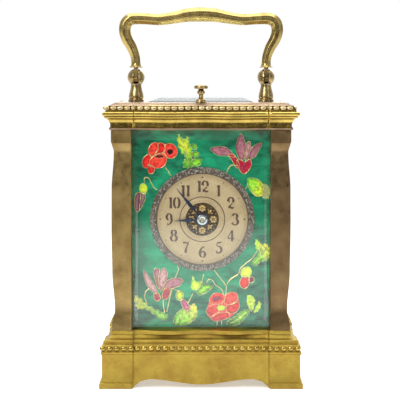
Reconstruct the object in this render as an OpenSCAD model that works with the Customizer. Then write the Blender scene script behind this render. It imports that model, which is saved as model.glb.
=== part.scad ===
// Repeating mantel clock in a serpentine brass and glass case, with an enamel dial panel.
// Frame: +Z up, the dial faces -Y, the origin is on the table under the middle of the base.

/* [Case] */
// Width of the base over its feet
base_w = 97.4; // [95:0.2:104]
// Depth of the base over its feet
base_d = 84; // [82:0.5:92]
// Height from the table to the top of the base
base_h = 27.4; // [27.4:0.2:29]
// Height of the four corner pillars
pillar_h = 96; // [94:0.2:100]
// Width of a pillar
pillar_w = 9.6; // [9.2:0.1:10.2]
// How far the long sides of base and cornice stand back from their corner blocks
break_in = 1.2; // [0.6:0.1:1.6]

/* [Glass] */
// Thickness of the bevelled panes
pane_t = 2.4; // [2:0.1:2.6]
// Width of the bevel round a pane
bevel_w = 4.6; // [3:0.1:5]
// Height that the bevel takes off a pane's edge
bevel_t = 1.3; // [0.6:0.1:1.5]

/* [Dial] */
// Dial centre, right of the middle of the case
dial_x = 0.6; // [0:0.1:1]
// Dial centre above the table
dial_z = 80; // [79:0.2:81]
// Radius of the chapter plate
dial_r = 22.3; // [21:0.1:22.6]
// Radius of the stippled ring round the chapter plate
ring_r = 25.2; // [24:0.1:26]
// Length of the minute hand from its centre
minute_len = 19.5; // [16:0.1:20.5]
// Length of the hour hand from its centre
hour_len = 13.6; // [11:0.1:15]
// Minutes past the hour that the hands show
show_minute = 53.4; // [0:0.1:59.9]
// Hour that the hands show
show_hour = 8; // [0:1:11]

/* [Handle] */
// Distance of the two handle posts from the middle of the case
post_x = 32.3; // [31:0.1:33]
// Radius of the knuckle ball on a post
ball_r = 4.3; // [4:0.1:4.5]
// Height of the handle pivot above the top plate
pivot_up = 12; // [10.8:0.1:12]

/* [Repeat button] */
// Distance of the button in front of the middle of the case
button_y = 30; // [29:0.1:31]
// Downward travel of the button
button_travel = 2; // [1:0.1:2]

/* [Train] */
// Teeth of each great wheel
great_teeth = 72; // [72:72]
// Module of the great wheels
great_m = 0.38; // [0.38:0.38]
// Leaves of the pinion that a great wheel drives
great_leaves = 12; // [12:12]
// Winding square, across its flats
square_w = 2.8; // [2.4:0.1:3]

/* [Hidden] */

$fn = 48;
eps = 0.01;
big = 300;

brass = "#b8963e";
old_brass = "#8f7440";
steel = "#b9bcc0";
blue_steel = "#3b4660";
glass = "#cfe3dd";
enamel = "#0f7a52";
gilt = "#c3a468";

// Levels of the case
pillar_base = base_h;
pillar_top = base_h + pillar_h;
crown_h = 13;
top_z = pillar_top + crown_h;

// Outer faces of the pillars, and their inner faces
case_x = base_w / 2 - 5.9;
case_y = base_d / 2 - 5.9;
inner_x = case_x - pillar_w;
inner_y = case_y - pillar_w;
bolt_x = case_x - pillar_w / 2;
bolt_y = case_y - pillar_w / 2;
bolt_r = 1.2;

// Panes and their grooves
fit = 0.1;
groove = 1.8;
front_pane_y = -(case_y - 2.7);
side_pane_x = case_x - 3.1;

// Dial stack from the panel forwards
panel_y = -inner_y + 0.1;
panel_t = 1.2;
dial_face_y = panel_y - 0.2;

// Movement plates: inner faces and thickness
plate_t = 2;
front_in = -17;
back_in = 17;
plate_x = 30;
plate_bottom = 34;
plate_top = 108.5;
pivot_r = 0.45;
pivot_hole_r = 0.5;
arbor_r = 0.75;

// Gear data: [teeth, module]
wheel_i = [66, 0.36];
pinion_c = [11, 0.36];
wheel_c = [64, 0.34];
pinion_t = [8, 0.34];
wheel_t = [60, 0.30];
pinion_k = [8, 0.30];
wheel_s = [60, 0.34];
pinion_p = [10, 0.34];
wheel_p = [60, 0.32];
pinion_f = [8, 0.32];
cannon = [12, 0.35];
minute_w = [36, 0.35];
minute_p = [10, 0.336];
hour_w = [40, 0.336];
crown_teeth = 60;
crown_r = 8.4;
escape_leaves = 6;

function pitch_r(g) = g[0] * g[1] / 2;
function polar(r, a) = [r * cos(a), r * sin(a)];
function bearing(p, q) = atan2(q.y - p.y, q.x - p.x);

// The point at distance rp from p and rq from q, on side s of the line between them
function meet(p, rp, q, rq, s) =
    let (d = norm(q - p), a = (rp * rp - rq * rq + d * d) / (2 * d))
    let (h = sqrt(rp * rp - a * a), u = (q - p) / d)
    p + a * u + s * h * [-u.y, u.x];

// Turn of a gear at q that puts it in mesh with a gear of zp teeth at p, turned by ap
function in_mesh(p, q, zp, ap, zq) =
    let (t = bearing(p, q)) t + 180 - (ap - t) * zp / zq + 180 / zq;

// Arbor positions in the plane of the plates, as [x, z]
centre_at = [dial_x, dial_z];
going_at = centre_at + [15, -25];
strike_at = centre_at + [-15, -25];
great = [great_teeth, great_m];
great_pinion = [great_leaves, great_m];
great_gap = pitch_r(great) + pitch_r(great_pinion);
inter_at = meet(going_at, great_gap, centre_at, pitch_r(wheel_i) + pitch_r(pinion_c), -1);
contrate_at = centre_at + [8, 17];
third_at = meet(centre_at, pitch_r(wheel_c) + pitch_r(pinion_t),
                contrate_at, pitch_r(wheel_t) + pitch_r(pinion_k), -1);
second_at = strike_at + polar(great_gap, 97);
pin_at = second_at + polar(pitch_r(wheel_s) + pitch_r(pinion_p), 92);
fly_at = pin_at + polar(pitch_r(wheel_p) + pitch_r(pinion_f), 75);
minute_at = centre_at + polar(pitch_r(cannon) + pitch_r(minute_w), -25);
hammer_at = centre_at + [-20.6, 20];
rack_at = centre_at + [-19.5, -0.9];

// Turns of the gears at rest, each set in mesh with its neighbour
turn_inter = in_mesh(going_at, inter_at, great_teeth, 0, great_leaves);
turn_centre = in_mesh(inter_at, centre_at, wheel_i[0], 0, pinion_c[0]);
turn_third = in_mesh(centre_at, third_at, wheel_c[0], 0, pinion_t[0]);
turn_contrate = in_mesh(third_at, contrate_at, wheel_t[0], 0, pinion_k[0]);
turn_second = in_mesh(strike_at, second_at, great_teeth, 0, great_leaves);
turn_pin = in_mesh(second_at, pin_at, wheel_s[0], 0, pinion_p[0]);
turn_fly = in_mesh(pin_at, fly_at, wheel_p[0], 0, pinion_f[0]);
turn_minute = in_mesh(centre_at, minute_at, cannon[0], 0, minute_w[0]);
turn_hour = in_mesh(minute_at, centre_at, minute_p[0], 0, hour_w[0]);

// Platform escapement: plan positions, as [x, y]
platform_z = plate_top;
escape_y = 1.84;
escape_p = [contrate_at.x, escape_y];
lever_p = escape_p - [5.2, 0];
balance_p = escape_p - [13, 0];
escape_r = 3.5;
balance_r = 6.5;

minute_angle = 90 - show_minute * 6;
hour_angle = 90 - (show_hour + show_minute / 60) * 30;
pivot_z = top_z + pivot_up;

/* ---- Helpers ---- */

// A flat shape in the plane of the plates, from y0 to y0 + t, seen the right way round from the front
module slab(p, y0, t, a = 0) {
    translate([p.x, y0 + t, p.y]) rotate([90, 0, 0]) rotate(a) linear_extrude(t) children();
}

// A round rod along Y
module rod(p, y0, y1, r) {
    translate([p.x, y1, p.y]) rotate([90, 0, 0]) cylinder(h = y1 - y0, r = r);
}

// A drawn section extruded along X, with its x as Y and its y as Z
module along_x(len) {
    rotate([90, 0, 90]) linear_extrude(len, center = true) children();
}

// A drawn section extruded along Y, with its x as X and its y as Z
module along_y(len) {
    rotate([90, 0, 0]) linear_extrude(len, center = true) children();
}

// A box from its lowest and highest corners
module span(a, b) {
    translate(a) cube(b - a);
}

module four(x, y) {
    for (sx = [-1, 1], sy = [-1, 1]) translate([sx * x, sy * y]) children();
}

function arc(c, r, a0, a1, n) = [for (i = [0:n]) c + polar(r, a0 + (a1 - a0) * i / n)];

// The closed section of a moulding whose points are [offset, z], on a body of half width h
module section(h, points) {
    n = len(points);
    polygon(concat(
        [for (p = points) [h + p[0], p[1]]],
        [for (i = [n - 1:-1:0]) [-h - points[i][0], points[i][1]]]
    ));
}

// A mitred moulding round a rectangle
module moulded(w, d, points) {
    intersection() {
        along_y(big) section(w / 2, points);
        along_x(big) section(d / 2, points);
    }
}

// Four corner blocks that carry the moulding forward of the long sides
module broken_moulding(w, d, block, points, block_points) {
    moulded(w - 2 * break_in, d - 2 * break_in, points);
    four((w - block) / 2, (d - block) / 2) moulded(block, block, block_points);
}

/* ---- Gears ---- */

// Tooth outline as [radius in modules from the pitch circle, half width in pitches]
wheel_tooth = [[-1.25, 0.25], [0, 0.205], [0.55, 0.15], [0.9, 0.06]];
leaf = [[-1.35, 0.16], [0, 0.175], [0.35, 0.13], [0.6, 0.05]];

module gear(g, tooth) {
    p = 360 / g[0];
    r = pitch_r(g);
    n = len(tooth);
    polygon([for (k = [0:g[0] - 1], i = [-n:n - 1])
        let (q = tooth[i < 0 ? n + i : n - 1 - i], s = i < 0 ? -1 : 1)
        polar(r + q[0] * g[1], (k + s * q[1]) * p)
    ]);
}

// A wheel with crossed-out spokes
module crossed(g, hub, rim, spokes = 5, spoke_w = 1) {
    r = pitch_r(g) - 1.25 * g[1] - rim;
    difference() {
        gear(g, wheel_tooth);
        difference() {
            circle(r);
            circle(hub);
            for (i = [0:spokes - 1]) rotate(i * 360 / spokes)
                translate([0, -spoke_w / 2]) square([r + 1, spoke_w]);
        }
    }
}

// An arbor between the plates with its two pivots
module arbor(p, r = arbor_r) {
    rod(p, front_in + 0.3, back_in - 0.3, r);
    rod(p, front_in - plate_t, back_in + plate_t, pivot_r);
}

module pivot_hole(p) {
    rod(p, front_in - plate_t - 1, back_in + plate_t + 1, pivot_hole_r);
}

/* ---- Base ---- */

// Plinth, bead band, cove and top fillet, from the fillet of the foot upwards
foot_section = concat(
    [[0, 0], [0, 2.9]],
    arc([-1.7, 3.0], 1.3, 0, 60, 3),
    [[-1.3, 4.6], [-1.3, 16.4], [-0.9, 16.8], [-0.9, 17.4]],
    [[-1.5, 17.8], [-1.5, 20.4], [-1.9, 20.8], [-1.9, 21.5]],
    arc([-2.3, 24.6], 3.0, -85, -160, 5),
    [[-5.4, 24.2], [-5.7, 24.6], [-5.7, base_h]]
);
plain_section = concat([[-1.3, 0]], [for (p = foot_section) if (p[1] > 4.5) p]);
block_w = 15.6;
wall = 5;
deck_z = 23;
plate_seat = 6.4;
foot_in = base_w / 2 - block_w;

// The waved lower edge of an apron between two feet, as a cutter below it
module apron_cut(half) {
    edge = [for (i = [0:16]) let (u = i / 16 * 2 - 1)
        [u * (half - 4), 1.7 + 2.7 * (1 - cos(180 * min(1, abs(u) * 1.08))) / 2]];
    polygon(concat([[-half - 0.2, -1], [-half - 0.2, 0], [-half + 2.6, 3.3]], edge,
                   [[half - 2.6, 3.3], [half + 0.2, 0], [half + 0.2, -1]]));
}

module base_plinth() {
    color(brass) difference() {
        broken_moulding(base_w, base_d, block_w, plain_section, foot_section);
        span([-base_w / 2 + wall + 6, -base_d / 2 + wall + 6, plate_seat - 1],
             [base_w / 2 - wall - 6, base_d / 2 - wall - 6, deck_z]);
        along_y(big) apron_cut(foot_in);
        along_x(big) apron_cut(base_d / 2 - block_w);
        four(bolt_x, bolt_y) {
            translate([0, 0, -1]) cylinder(h = deck_z - 2, r = 3);
            cylinder(h = base_h + 1, r = bolt_r + fit);
        }
        bottom_recess(0);
        door_pin_holes();
    }
}

// The space between the feet that the bottom plate lies in, and its upper end
module bottom_recess(gap) {
    x = base_w / 2 - wall - gap;
    y = base_d / 2 - wall - gap;
    difference() {
        span([-x, -y, -1], [x, y, plate_seat]);
        four(x + 1, y + 1) cube([2 * block_w - 4 + 2 * gap, 2 * block_w - 4 + 2 * gap, big], center = true);
    }
}

module bottom_plate() {
    color(old_brass) intersection() {
        bottom_recess(fit);
        translate([0, 0, plate_seat - 1.4]) cylinder(h = 1.4, r = 80);
    }
}

/* ---- Pillars ---- */

// Height above the pillar's foot, and how far its outer face swells
swell = [[0, 0.1], [1.6, 0], [9.5, -1.4], [28, -0.25], [46, 0], [66, -0.15], [84.4, -1.2],
         [88.6, -0.2], [88.7, 0.1], [94.6, 0.1]];

function eased(a, b, z) = a[1] + (b[1] - a[1]) * (1 - cos(180 * (z - a[0]) / (b[0] - a[0]))) / 2;

module swell_section(w) {
    outer = [for (i = [0:len(swell) - 2]) let (a = swell[i], b = swell[i + 1])
        let (n = abs(a[1] - b[1]) > 0.4 ? 8 : 3)
        for (k = [0:n - 1]) let (z = a[0] + (b[0] - a[0]) * k / n)
        [w + eased(a, b, z), z * pillar_h / 94.6]];
    polygon(concat([[0, 0]], outer, [[w + 0.1, pillar_h], [0, pillar_h]]));
}

// A pillar at the corner (sx, sy), bored for its bolt and grooved for its panes
module pillar(sx, sy) {
    color(old_brass) difference() {
        translate([sx * inner_x, sy * inner_y, pillar_base]) scale([sx, sy, 1]) intersection() {
            translate([0, big / 2, 0]) along_y(big) swell_section(pillar_w);
            translate([big / 2, 0, 0]) along_x(big) swell_section(pillar_w);
        }
        translate([sx * bolt_x, sy * bolt_y, 0]) cylinder(h = big, r = bolt_r + fit);
        pane_grooves(sx, sy);
    }
}

// Grooves for the front pane and the side panes
module pane_grooves(sx, sy) {
    side_a = [sx * side_pane_x - pane_t - fit, sy * (inner_y + groove / 2) - groove / 2 - 1, 0];
    if (sx > 0) translate(side_a) cube([pane_t + 2 * fit, groove + 2, big]);
    if (sx < 0) mirror([1, 0, 0]) translate([side_pane_x - pane_t - fit, side_a.y, 0])
        cube([pane_t + 2 * fit, groove + 2, big]);
    if (sy < 0) translate([sx * (inner_x + groove / 2) - groove / 2 - 1, front_pane_y - fit, 0])
        cube([groove + 2, pane_t + 2 * fit, big]);
}

/* ---- Cornice ---- */

crown_section = concat(
    [[0.5, 0], [0.9, 0.3], [0.9, 1.1], [0.3, 1.5], [0.3, 3.6], [0.6, 4.0]],
    arc([3.2, 3.9], 2.5, 175, 100, 4),
    [[3.1, 6.9]],
    arc([2.6, 8.3], 1.3, -65, 65, 6),
    [[2.9, 9.9], [2.9, 10.4]],
    arc([0.7, 10.5], 2.0, 0, 70, 4),
    [[0.6, 12.7], [-0.6, 13.0], [-1.9, 14.4]]
);
cornice_section = [for (p = crown_section) [p.x, p.y * crown_h / 14.4]];
ledge_z = top_z - 5;
top_pane_x = 25.6;
top_pane_y = 24;

module cornice() {
    color(brass) difference() {
        translate([0, 0, pillar_top])
            broken_moulding(2 * case_x, 2 * case_y, 11.2, cornice_section, cornice_section);
        span([-inner_x + 0.2, -inner_y - 6, pillar_top - 1], [inner_x - 0.2, inner_y + 4.6, ledge_z]);
        cube([2 * top_pane_x - 4, 2 * top_pane_y - 4, big], center = true);
        span([-top_pane_x - fit, -top_pane_y - fit, ledge_z + 1.9],
             [top_pane_x + fit, top_pane_y + fit, big]);
        four(bolt_x, bolt_y) cylinder(h = pillar_top + 6, r = bolt_r + fit);
        for (s = [-1, 1]) translate([s * post_x, 0, ledge_z - 3]) cylinder(h = 20, r = 1.6);
        translate([0, -button_y, ledge_z - 1]) cylinder(h = 20, r = 2.3);
        door_pin_holes();
    }
}

// Bolts up through the base and the pillars into the cornice
module case_bolts() {
    color(steel) four(bolt_x, bolt_y) {
        translate([0, 0, deck_z - 4.9]) cylinder(h = 1.9, r = 2.6);
        translate([0, 0, deck_z - 3]) cylinder(h = pillar_top + 5.5 - deck_z + 3, r = bolt_r);
    }
}

/* ---- Glass ---- */

// A pane lying in XY from z 0 to t, with a bevel round its upper face
module bevelled(w, h, t, bw, bt) {
    intersection() {
        along_y(h) polygon([[-w / 2, 0], [w / 2, 0], [w / 2, t - bt], [w / 2 - bw, t],
                            [bw - w / 2, t], [-w / 2, t - bt]]);
        along_x(w) polygon([[-h / 2, 0], [h / 2, 0], [h / 2, t - bt], [h / 2 - bw, t],
                            [bw - h / 2, t], [-h / 2, t - bt]]);
    }
}

pane_h = pillar_h - 0.4;
pane_mid = pillar_base + 0.2 + pane_h / 2;

module front_glass() {
    color(glass, 0.4) translate([0, front_pane_y + pane_t, pane_mid]) rotate([90, 0, 0])
        bevelled(2 * (inner_x + groove - fit), pane_h, pane_t, bevel_w, bevel_t);
}

module side_glass(s) {
    color(glass, 0.4) translate([s * (side_pane_x - pane_t), 0, pane_mid]) rotate([0, s * 90, 0])
        bevelled(pane_h, 2 * (inner_y + groove - fit), pane_t, bevel_w, bevel_t);
}

module top_glass() {
    color(glass, 0.4) translate([0, 0, ledge_z + 1.9])
        bevelled(2 * top_pane_x, 2 * top_pane_y, 5.1, 4.8, 2);
}

/* ---- Dial ---- */

module enamel_panel() {
    x = inner_x + 2.6;
    color(enamel) difference() {
        span([-x, panel_y, pillar_base + 0.1], [x, panel_y + panel_t, pillar_top - 0.2]);
        rod(centre_at, panel_y - 1, panel_y + 3, dial_r + 0.2);
    }
}

module dial_ring() {
    color("#8c7f78") difference() {
        rod(centre_at, panel_y - 0.7, panel_y, ring_r);
        rod(centre_at, panel_y - 2, panel_y + 1, dial_r + 0.1);
    }
}

centre_hole_r = 10.6;

module dial_plate() {
    color(gilt) difference() {
        rod(centre_at, dial_face_y, panel_y + panel_t, dial_r);
        rod(centre_at, dial_face_y - 1, panel_y + 3, centre_hole_r);
    }
}

// Stepped rings and a ring of florets round the hand arbor
module dial_centre() {
    color(gilt) difference() {
        union() {
            rod(centre_at, dial_face_y - 0.2, panel_y + panel_t, centre_hole_r - 0.05);
            for (k = [0:7]) rod(centre_at + polar(5.2, 45 * k), dial_face_y + 0.2, panel_y + 0.6, 1);
        }
        difference() {
            rod(centre_at, dial_face_y - 1, dial_face_y + 0.5, 7.8);
            for (k = [0:7]) rod(centre_at + polar(5.2, 45 * k), dial_face_y - 0.1, panel_y + 1, 1);
        }
        difference() {
            rod(centre_at, dial_face_y - 1, dial_face_y + 0.2, 9.4);
            rod(centre_at, dial_face_y - 2, dial_face_y + 1, 8.4);
        }
        rod(centre_at, dial_face_y - 1, panel_y + 3, 2.5);
    }
}

hour_hand_y = dial_face_y - 1.5;
minute_hand_y = hour_hand_y - 1;
collet_y = minute_hand_y - 1.2;
hand_t = 0.4;

// A hand of length len along +X: boss, slim neck, leaf of half width w and a fine tip
module hand(len, boss, w, hole) {
    difference() {
        union() {
            circle(boss);
            polygon(concat(
                [[0, -0.5], [len * 0.26, -0.42]],
                [for (i = [0:8]) let (u = i / 8)
                    [len * (0.3 + 0.4 * u), -0.42 - (w - 0.42) * sin(180 * u) * (1 - 0.35 * u)]],
                [[len, -0.08], [len, 0.08]],
                [for (i = [8:-1:0]) let (u = i / 8)
                    [len * (0.3 + 0.4 * u), 0.42 + (w - 0.42) * sin(180 * u) * (1 - 0.35 * u)]],
                [[len * 0.26, 0.42], [0, 0.5]]
            ));
        }
        circle(hole);
    }
}

module hour_hand() {
    color(blue_steel) slab(centre_at, hour_hand_y, hand_t, hour_angle) hand(hour_len, 2.9, 1.1, 1.95);
}

module minute_hand() {
    color(blue_steel) slab(centre_at, minute_hand_y, hand_t, minute_angle)
        hand(minute_len, 3.1, 0.95, 1.2);
}

module hand_collet() {
    color(steel) difference() {
        union() {
            rod(centre_at, collet_y, minute_hand_y, 2.1);
            rod(centre_at, minute_hand_y - 0.5, minute_hand_y, 2.5);
        }
        rod(centre_at, collet_y - 1, minute_hand_y + 1, 0.7);
    }
}

/* ---- Handle ---- */

tang_t = 2.2;
slot_w = 2.4;
pin_r = 0.9;

module handle_post(s) {
    color(brass) translate([s * post_x, 0, top_z]) difference() {
        union() {
            rotate_extrude() polygon(concat(
                [[0, 0], [3.9, 0], [3.9, 0.8], [3.5, 1.2], [3.6, 2.2]],
                arc([6.9, 5.2], 4.5, 215, 165, 6),
                [[2.6, pivot_up - 3.6], [0, pivot_up - 3.6]]
            ));
            translate([0, 0, pivot_up]) sphere(ball_r);
            translate([0, 0, -6.4]) cylinder(h = 6.5, r = 1.5);
        }
        span([-slot_w / 2, -9, pivot_up - 4.4], [slot_w / 2, 9, pivot_up + 9]);
        translate([-9, 0, pivot_up]) rotate([0, 90, 0]) cylinder(h = 18, r = pin_r);
    }
}

// Screws through the two knuckles
module handle_pins() {
    color(steel) for (s = [-1, 1]) translate([s * post_x, 0, pivot_z]) rotate([0, 90, 0])
        cylinder(h = 2 * ball_r - 1, r = pin_r, center = true);
}

// Centre line of the left half of the bail as [x, height over the pivot, radius]
bail = [[-32.3, 4.9, 3.3], [-32.4, 6.4, 2.5], [-32.7, 10.2, 2.4], [-34.4, 14.8, 2.7],
        [-36.7, 18.9, 2.9], [-37.8, 23, 3], [-37, 26.9, 3.1], [-33.9, 28.9, 3.1],
        [-28, 28.9, 2.9], [-20.6, 28.5, 2.9], [-13.2, 29.5, 3.1], [-6.6, 30.7, 3.5], [0, 31, 3.7]];
bail_line = concat(bail, [for (i = [len(bail) - 2:-1:0]) [-bail[i][0], bail[i][1], bail[i][2]]]);

function spline(p, i, t) = let (
        a = p[max(i - 1, 0)], b = p[i], c = p[i + 1], d = p[min(i + 2, len(p) - 1)])
    0.5 * (2 * b + (c - a) * t + (2 * a - 5 * b + 4 * c - d) * t * t
           + (3 * b - a - 3 * c + d) * t * t * t);

// A tube along a line of [x, z, radius] in the XZ plane
module bail_tube(line, sides, steps) {
    path = concat([for (i = [0:len(line) - 2], k = [0:steps - 1]) spline(line, i, k / steps)],
                  [line[len(line) - 1]]);
    n = len(path);
    points = [for (i = [0:n - 1]) let (
                d = path[min(i + 1, n - 1)] - path[max(i - 1, 0)],
                u = [d[0], d[1]] / norm([d[0], d[1]]), c = path[i])
        for (k = [0:sides - 1]) let (a = 360 * k / sides)
        [c[0] - u.y * c[2] * cos(a), c[2] * sin(a), c[1] + u.x * c[2] * cos(a)]];
    faces = concat(
        [[for (k = [sides - 1:-1:0]) k]],
        [for (i = [0:n - 2], k = [0:sides - 1], h = [0, 1]) let (m = (k + 1) % sides, a = i * sides)
            h == 0 ? [a + k, a + m, a + sides + m] : [a + k, a + sides + m, a + sides + k]],
        [[for (k = [0:sides - 1]) (n - 1) * sides + k]]
    );
    polyhedron(points, faces, convexity = 6);
}

module handle() {
    color(brass) translate([0, 0, pivot_z]) difference() {
        union() {
            bail_tube(bail_line, 12, 3);
            for (s = [-1, 1]) translate([s * post_x, 0, 0]) {
                rotate([0, 90, 0]) cylinder(h = tang_t, r = 3.4, center = true);
                span([-tang_t / 2, -2, 0], [tang_t / 2, 2, 5.2]);
            }
        }
        for (s = [-1, 1]) translate([s * post_x, 0, 0]) rotate([0, 90, 0])
            cylinder(h = 12, r = pin_r + 0.05, center = true);
    }
}

/* ---- Repeat button ---- */

module button_bush() {
    color(brass) translate([0, -button_y, top_z]) difference() {
        union() {
            translate([0, 0, -5.6]) cylinder(h = 5.7, r = 2.25);
            rotate_extrude() polygon(concat([[0, 0], [2.9, 0], [2.9, 0.3]],
                                            arc([0.6, 0.3], 1.8, 0, 60, 4), [[0, 1.86]]));
        }
        translate([0, 0, -7]) cylinder(h = 12, r = 1.38);
    }
}

button_foot = -8.6;

module repeat_button() {
    color(brass) translate([0, -button_y, top_z]) {
        translate([0, 0, button_foot]) cylinder(h = 12, r = 1.3);
        rotate_extrude() polygon(concat([[0, 1], [1.2, 1], [1.2, 4.2]],
            arc([0.2, 5], 1.6, -35, 60, 4), [[1, 6.4], [1.4, 6.7], [3, 6.7], [3.3, 7], [3.3, 7.7]],
            [[2.8, 8.1], [0, 8.3]]));
    }
}

lever_pivot = [-18, top_z - 16.4];

// Bell crank under the button, drawn in the YZ plane: round nose, arm, hub and tail
module repeat_lever() {
    nose = [-button_y, top_z + button_foot - 1.05];
    color(steel) {
        along_x(2) {
            translate(nose) circle(1);
            translate(lever_pivot) circle(1.9);
            polygon([nose + [-0.8, -0.6], nose + [0.6, 0.8], lever_pivot + [-3.4, 7.4], lever_pivot + [1.1, 1.5],
                     lever_pivot - [1.3, 1.3], lever_pivot + [-5.2, 5.6]]);
            polygon([lever_pivot + [0.3, -1.8], lever_pivot + [-1.2, 1.2], lever_pivot + [-5.4, -2.6],
                     lever_pivot + [-5.4, -16], lever_pivot + [-4.4, -16], lever_pivot + [-4.4, -4]]);
        }
        translate([0, lever_pivot.x, lever_pivot.y]) rotate([0, 90, 0])
            cylinder(h = 9, r = 0.75, center = true);
    }
}

/* ---- Rear door ---- */

door_y = case_y - 2.9;
door_t = 3.6;
hinge_p = [inner_x - 2, door_y - 0.2];
door_low = pillar_base + 0.4;
door_high = pillar_top - 0.4;
stile = 4.6;

module door_pin_holes() {
    translate([hinge_p.x, hinge_p.y, pillar_base - 2.6]) cylinder(h = pillar_h + 5.2, r = 0.85);
}

module door_pins() {
    color(steel) for (z = [pillar_base - 2.5, pillar_top - 1.4])
        translate([hinge_p.x, hinge_p.y, z]) cylinder(h = 3.9, r = 0.8);
}

module door_frame() {
    x0 = -(inner_x - 0.25);
    color(brass) difference() {
        union() {
            span([x0, hinge_p.y - door_t / 2, door_low], [hinge_p.x, hinge_p.y + door_t / 2, door_high]);
            translate([hinge_p.x, hinge_p.y, door_low]) cylinder(h = door_high - door_low, r = door_t / 2);
        }
        span([x0 + stile, 0, door_low + stile], [hinge_p.x - stile + 1, 60, door_high - stile]);
        span([x0 + stile - 1.5, hinge_p.y - 1.2, door_low + stile - 1.5],
             [hinge_p.x - stile + 2.5, hinge_p.y + 1.3, door_high - stile + 1.5]);
        door_pin_holes();
        translate([-inner_x + 2.4, 60, dial_z - 4]) rotate([90, 0, 0]) cylinder(h = 60, r = 0.85);
    }
}

module door_glass() {
    x0 = -(inner_x - 0.25) + stile - 1.4;
    x1 = hinge_p.x - stile + 2.4;
    h = door_high - door_low - 2 * stile + 2.8;
    color(glass, 0.4) translate([(x0 + x1) / 2, hinge_p.y - 1.1, (door_low + door_high) / 2])
        rotate([-90, 0, 0]) bevelled(x1 - x0, h, 2.3, bevel_w, bevel_t);
}

module door_knob() {
    color(brass) translate([-inner_x + 2.4, hinge_p.y + door_t / 2, dial_z - 4]) rotate([-90, 0, 0]) {
        rotate_extrude() polygon(concat([[0, 0], [1.7, 0], [1.7, 0.5], [0.8, 0.9], [0.8, 1.6]],
                                        arc([0, 3], 1.7, -55, 90, 6)));
        translate([0, 0, -3]) cylinder(h = 3.2, r = 0.8);
    }
}

/* ---- Movement plates ---- */

module plate_outline() {
    translate([-plate_x, plate_bottom]) square([2 * plate_x, plate_top - plate_bottom]);
    for (s = [-1, 1]) translate([s * 25 - 4, pillar_base]) square([8, plate_bottom - pillar_base + 1]);
}

pillar_spots = [[-27, 37.5], [27, 37.5], [-27, 105], [27, 105]];
stud_spots = [minute_at, rack_at];

module drilled_plate(y0) {
    difference() {
        slab([0, 0], y0, plate_t) plate_outline();
        for (p = [inter_at, third_at, contrate_at, second_at, pin_at, fly_at, hammer_at]) pivot_hole(p);
        for (p = [going_at, strike_at]) rod(p, y0 - 1, y0 + plate_t + 1, 2.05);
        rod(centre_at, y0 - 1, y0 + plate_t + 1, 0.8);
    }
}

// Front plate, with the pillars riveted into it and the studs of the motion work
module front_plate() {
    color(brass) {
        difference() {
            union() {
                drilled_plate(front_in - plate_t);
                slab([0, 0], front_in - plate_t, plate_t) polygon([[-7, plate_top - 1], [7, plate_top - 1],
                    [6, lever_pivot.y - 3], [6, lever_pivot.y + 2.4], [-6, lever_pivot.y + 2.4],
                    [-6, lever_pivot.y - 3]]);
            }
            span([-1.4, -30, lever_pivot.y - 3.4], [1.4, 0, lever_pivot.y + 4]);
            translate([0, lever_pivot.x, lever_pivot.y]) rotate([0, 90, 0])
                cylinder(h = 20, r = 0.8, center = true);
        }
        for (p = pillar_spots) rod(p, front_in, back_in, 1.9);
        for (p = pillar_spots) rod(p, back_in - 1, back_in + plate_t + 1.6, 0.9);
        rod(minute_at, front_in - plate_t - 5.4, front_in - plate_t + 0.2, 0.6);
        rod(rack_at, front_in - plate_t - 5.9, front_in - plate_t + 0.2, 0.7);
        for (p = [going_at, strike_at])
            rod(p + polar(9.6, 118), front_in - plate_t - 2.6, front_in - plate_t + 0.2, 0.8);
    }
}

module back_plate() {
    color(brass) difference() {
        drilled_plate(back_in);
        for (p = pillar_spots) rod(p, 0, back_in + 9, 0.95);
        rod(hammer_at, back_in - 1, back_in + 9, 0.95);
    }
}

/* ---- Barrels ---- */

drum = [-11, 7];
drum_r = 12.6;
great_y = [8, 10];

module barrel(p) {
    color(brass) difference() {
        union() {
            rod(p, drum[0], great_y[0] + eps, drum_r);
            slab(p, great_y[0], great_y[1] - great_y[0]) gear(great, wheel_tooth);
        }
        rod(p, drum[0] + 1.2, great_y[0] - 0.4, drum_r - 1.1);
        rod(p, drum[0] - 1, great_y[1] + 1, 2.06);
    }
}

// A wound spring as half turns about two centres, from its hook on the arbor outwards
module coiled(p, y0, h, r0, pitch, halves, t) {
    for (i = [0:halves - 1]) {
        lower = i % 2;
        translate([p.x + lower * pitch / 2, y0 + h, p.y]) rotate([90, 0, 0]) rotate(180 * lower)
            rotate_extrude(angle = 180) translate([r0 + i * pitch / 2 - t / 2, 0]) square([t, h]);
    }
}

module mainspring(p) {
    color(blue_steel) coiled(p, drum[0] + 1.6, 15.6, 3.1, 1.1, 13, 0.5);
}

module saw_ring(r, teeth, depth) {
    polygon([for (k = [0:teeth - 1], q = [0, 1]) polar(r - depth * q, (k + q * 0.92) * 360 / teeth)]);
}

// Barrel arbor with its ratchet wheel in front and its winding square behind
module winding_arbor(p) {
    color(steel) {
        rod(p, front_in - plate_t - 2.2, back_in + plate_t + 0.6, 2);
        rod(p, drum[0] + 1.4, great_y[0] - 0.6, 2.85);
        slab(p, front_in - plate_t - 2, 1.6) saw_ring(6.5, 24, 0.9);
        translate([p.x, back_in + plate_t + 4.4, p.y]) rotate([0, 45, 0])
            cube([square_w, 8, square_w], center = true);
    }
}

// Click drawn just clear of the ratchet teeth
module click(p) {
    color(steel) slab(p + polar(9.6, 118), front_in - plate_t - 2, 1.6, 118) difference() {
        union() {
            circle(1.7);
            polygon([[1.2, 1.2], [-3.6, 5.9], [-4.6, 5], [-4.75, 4.6], [-1.6, 0.2]]);
        }
        circle(0.85);
    }
}

/* ---- Going train ---- */

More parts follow.
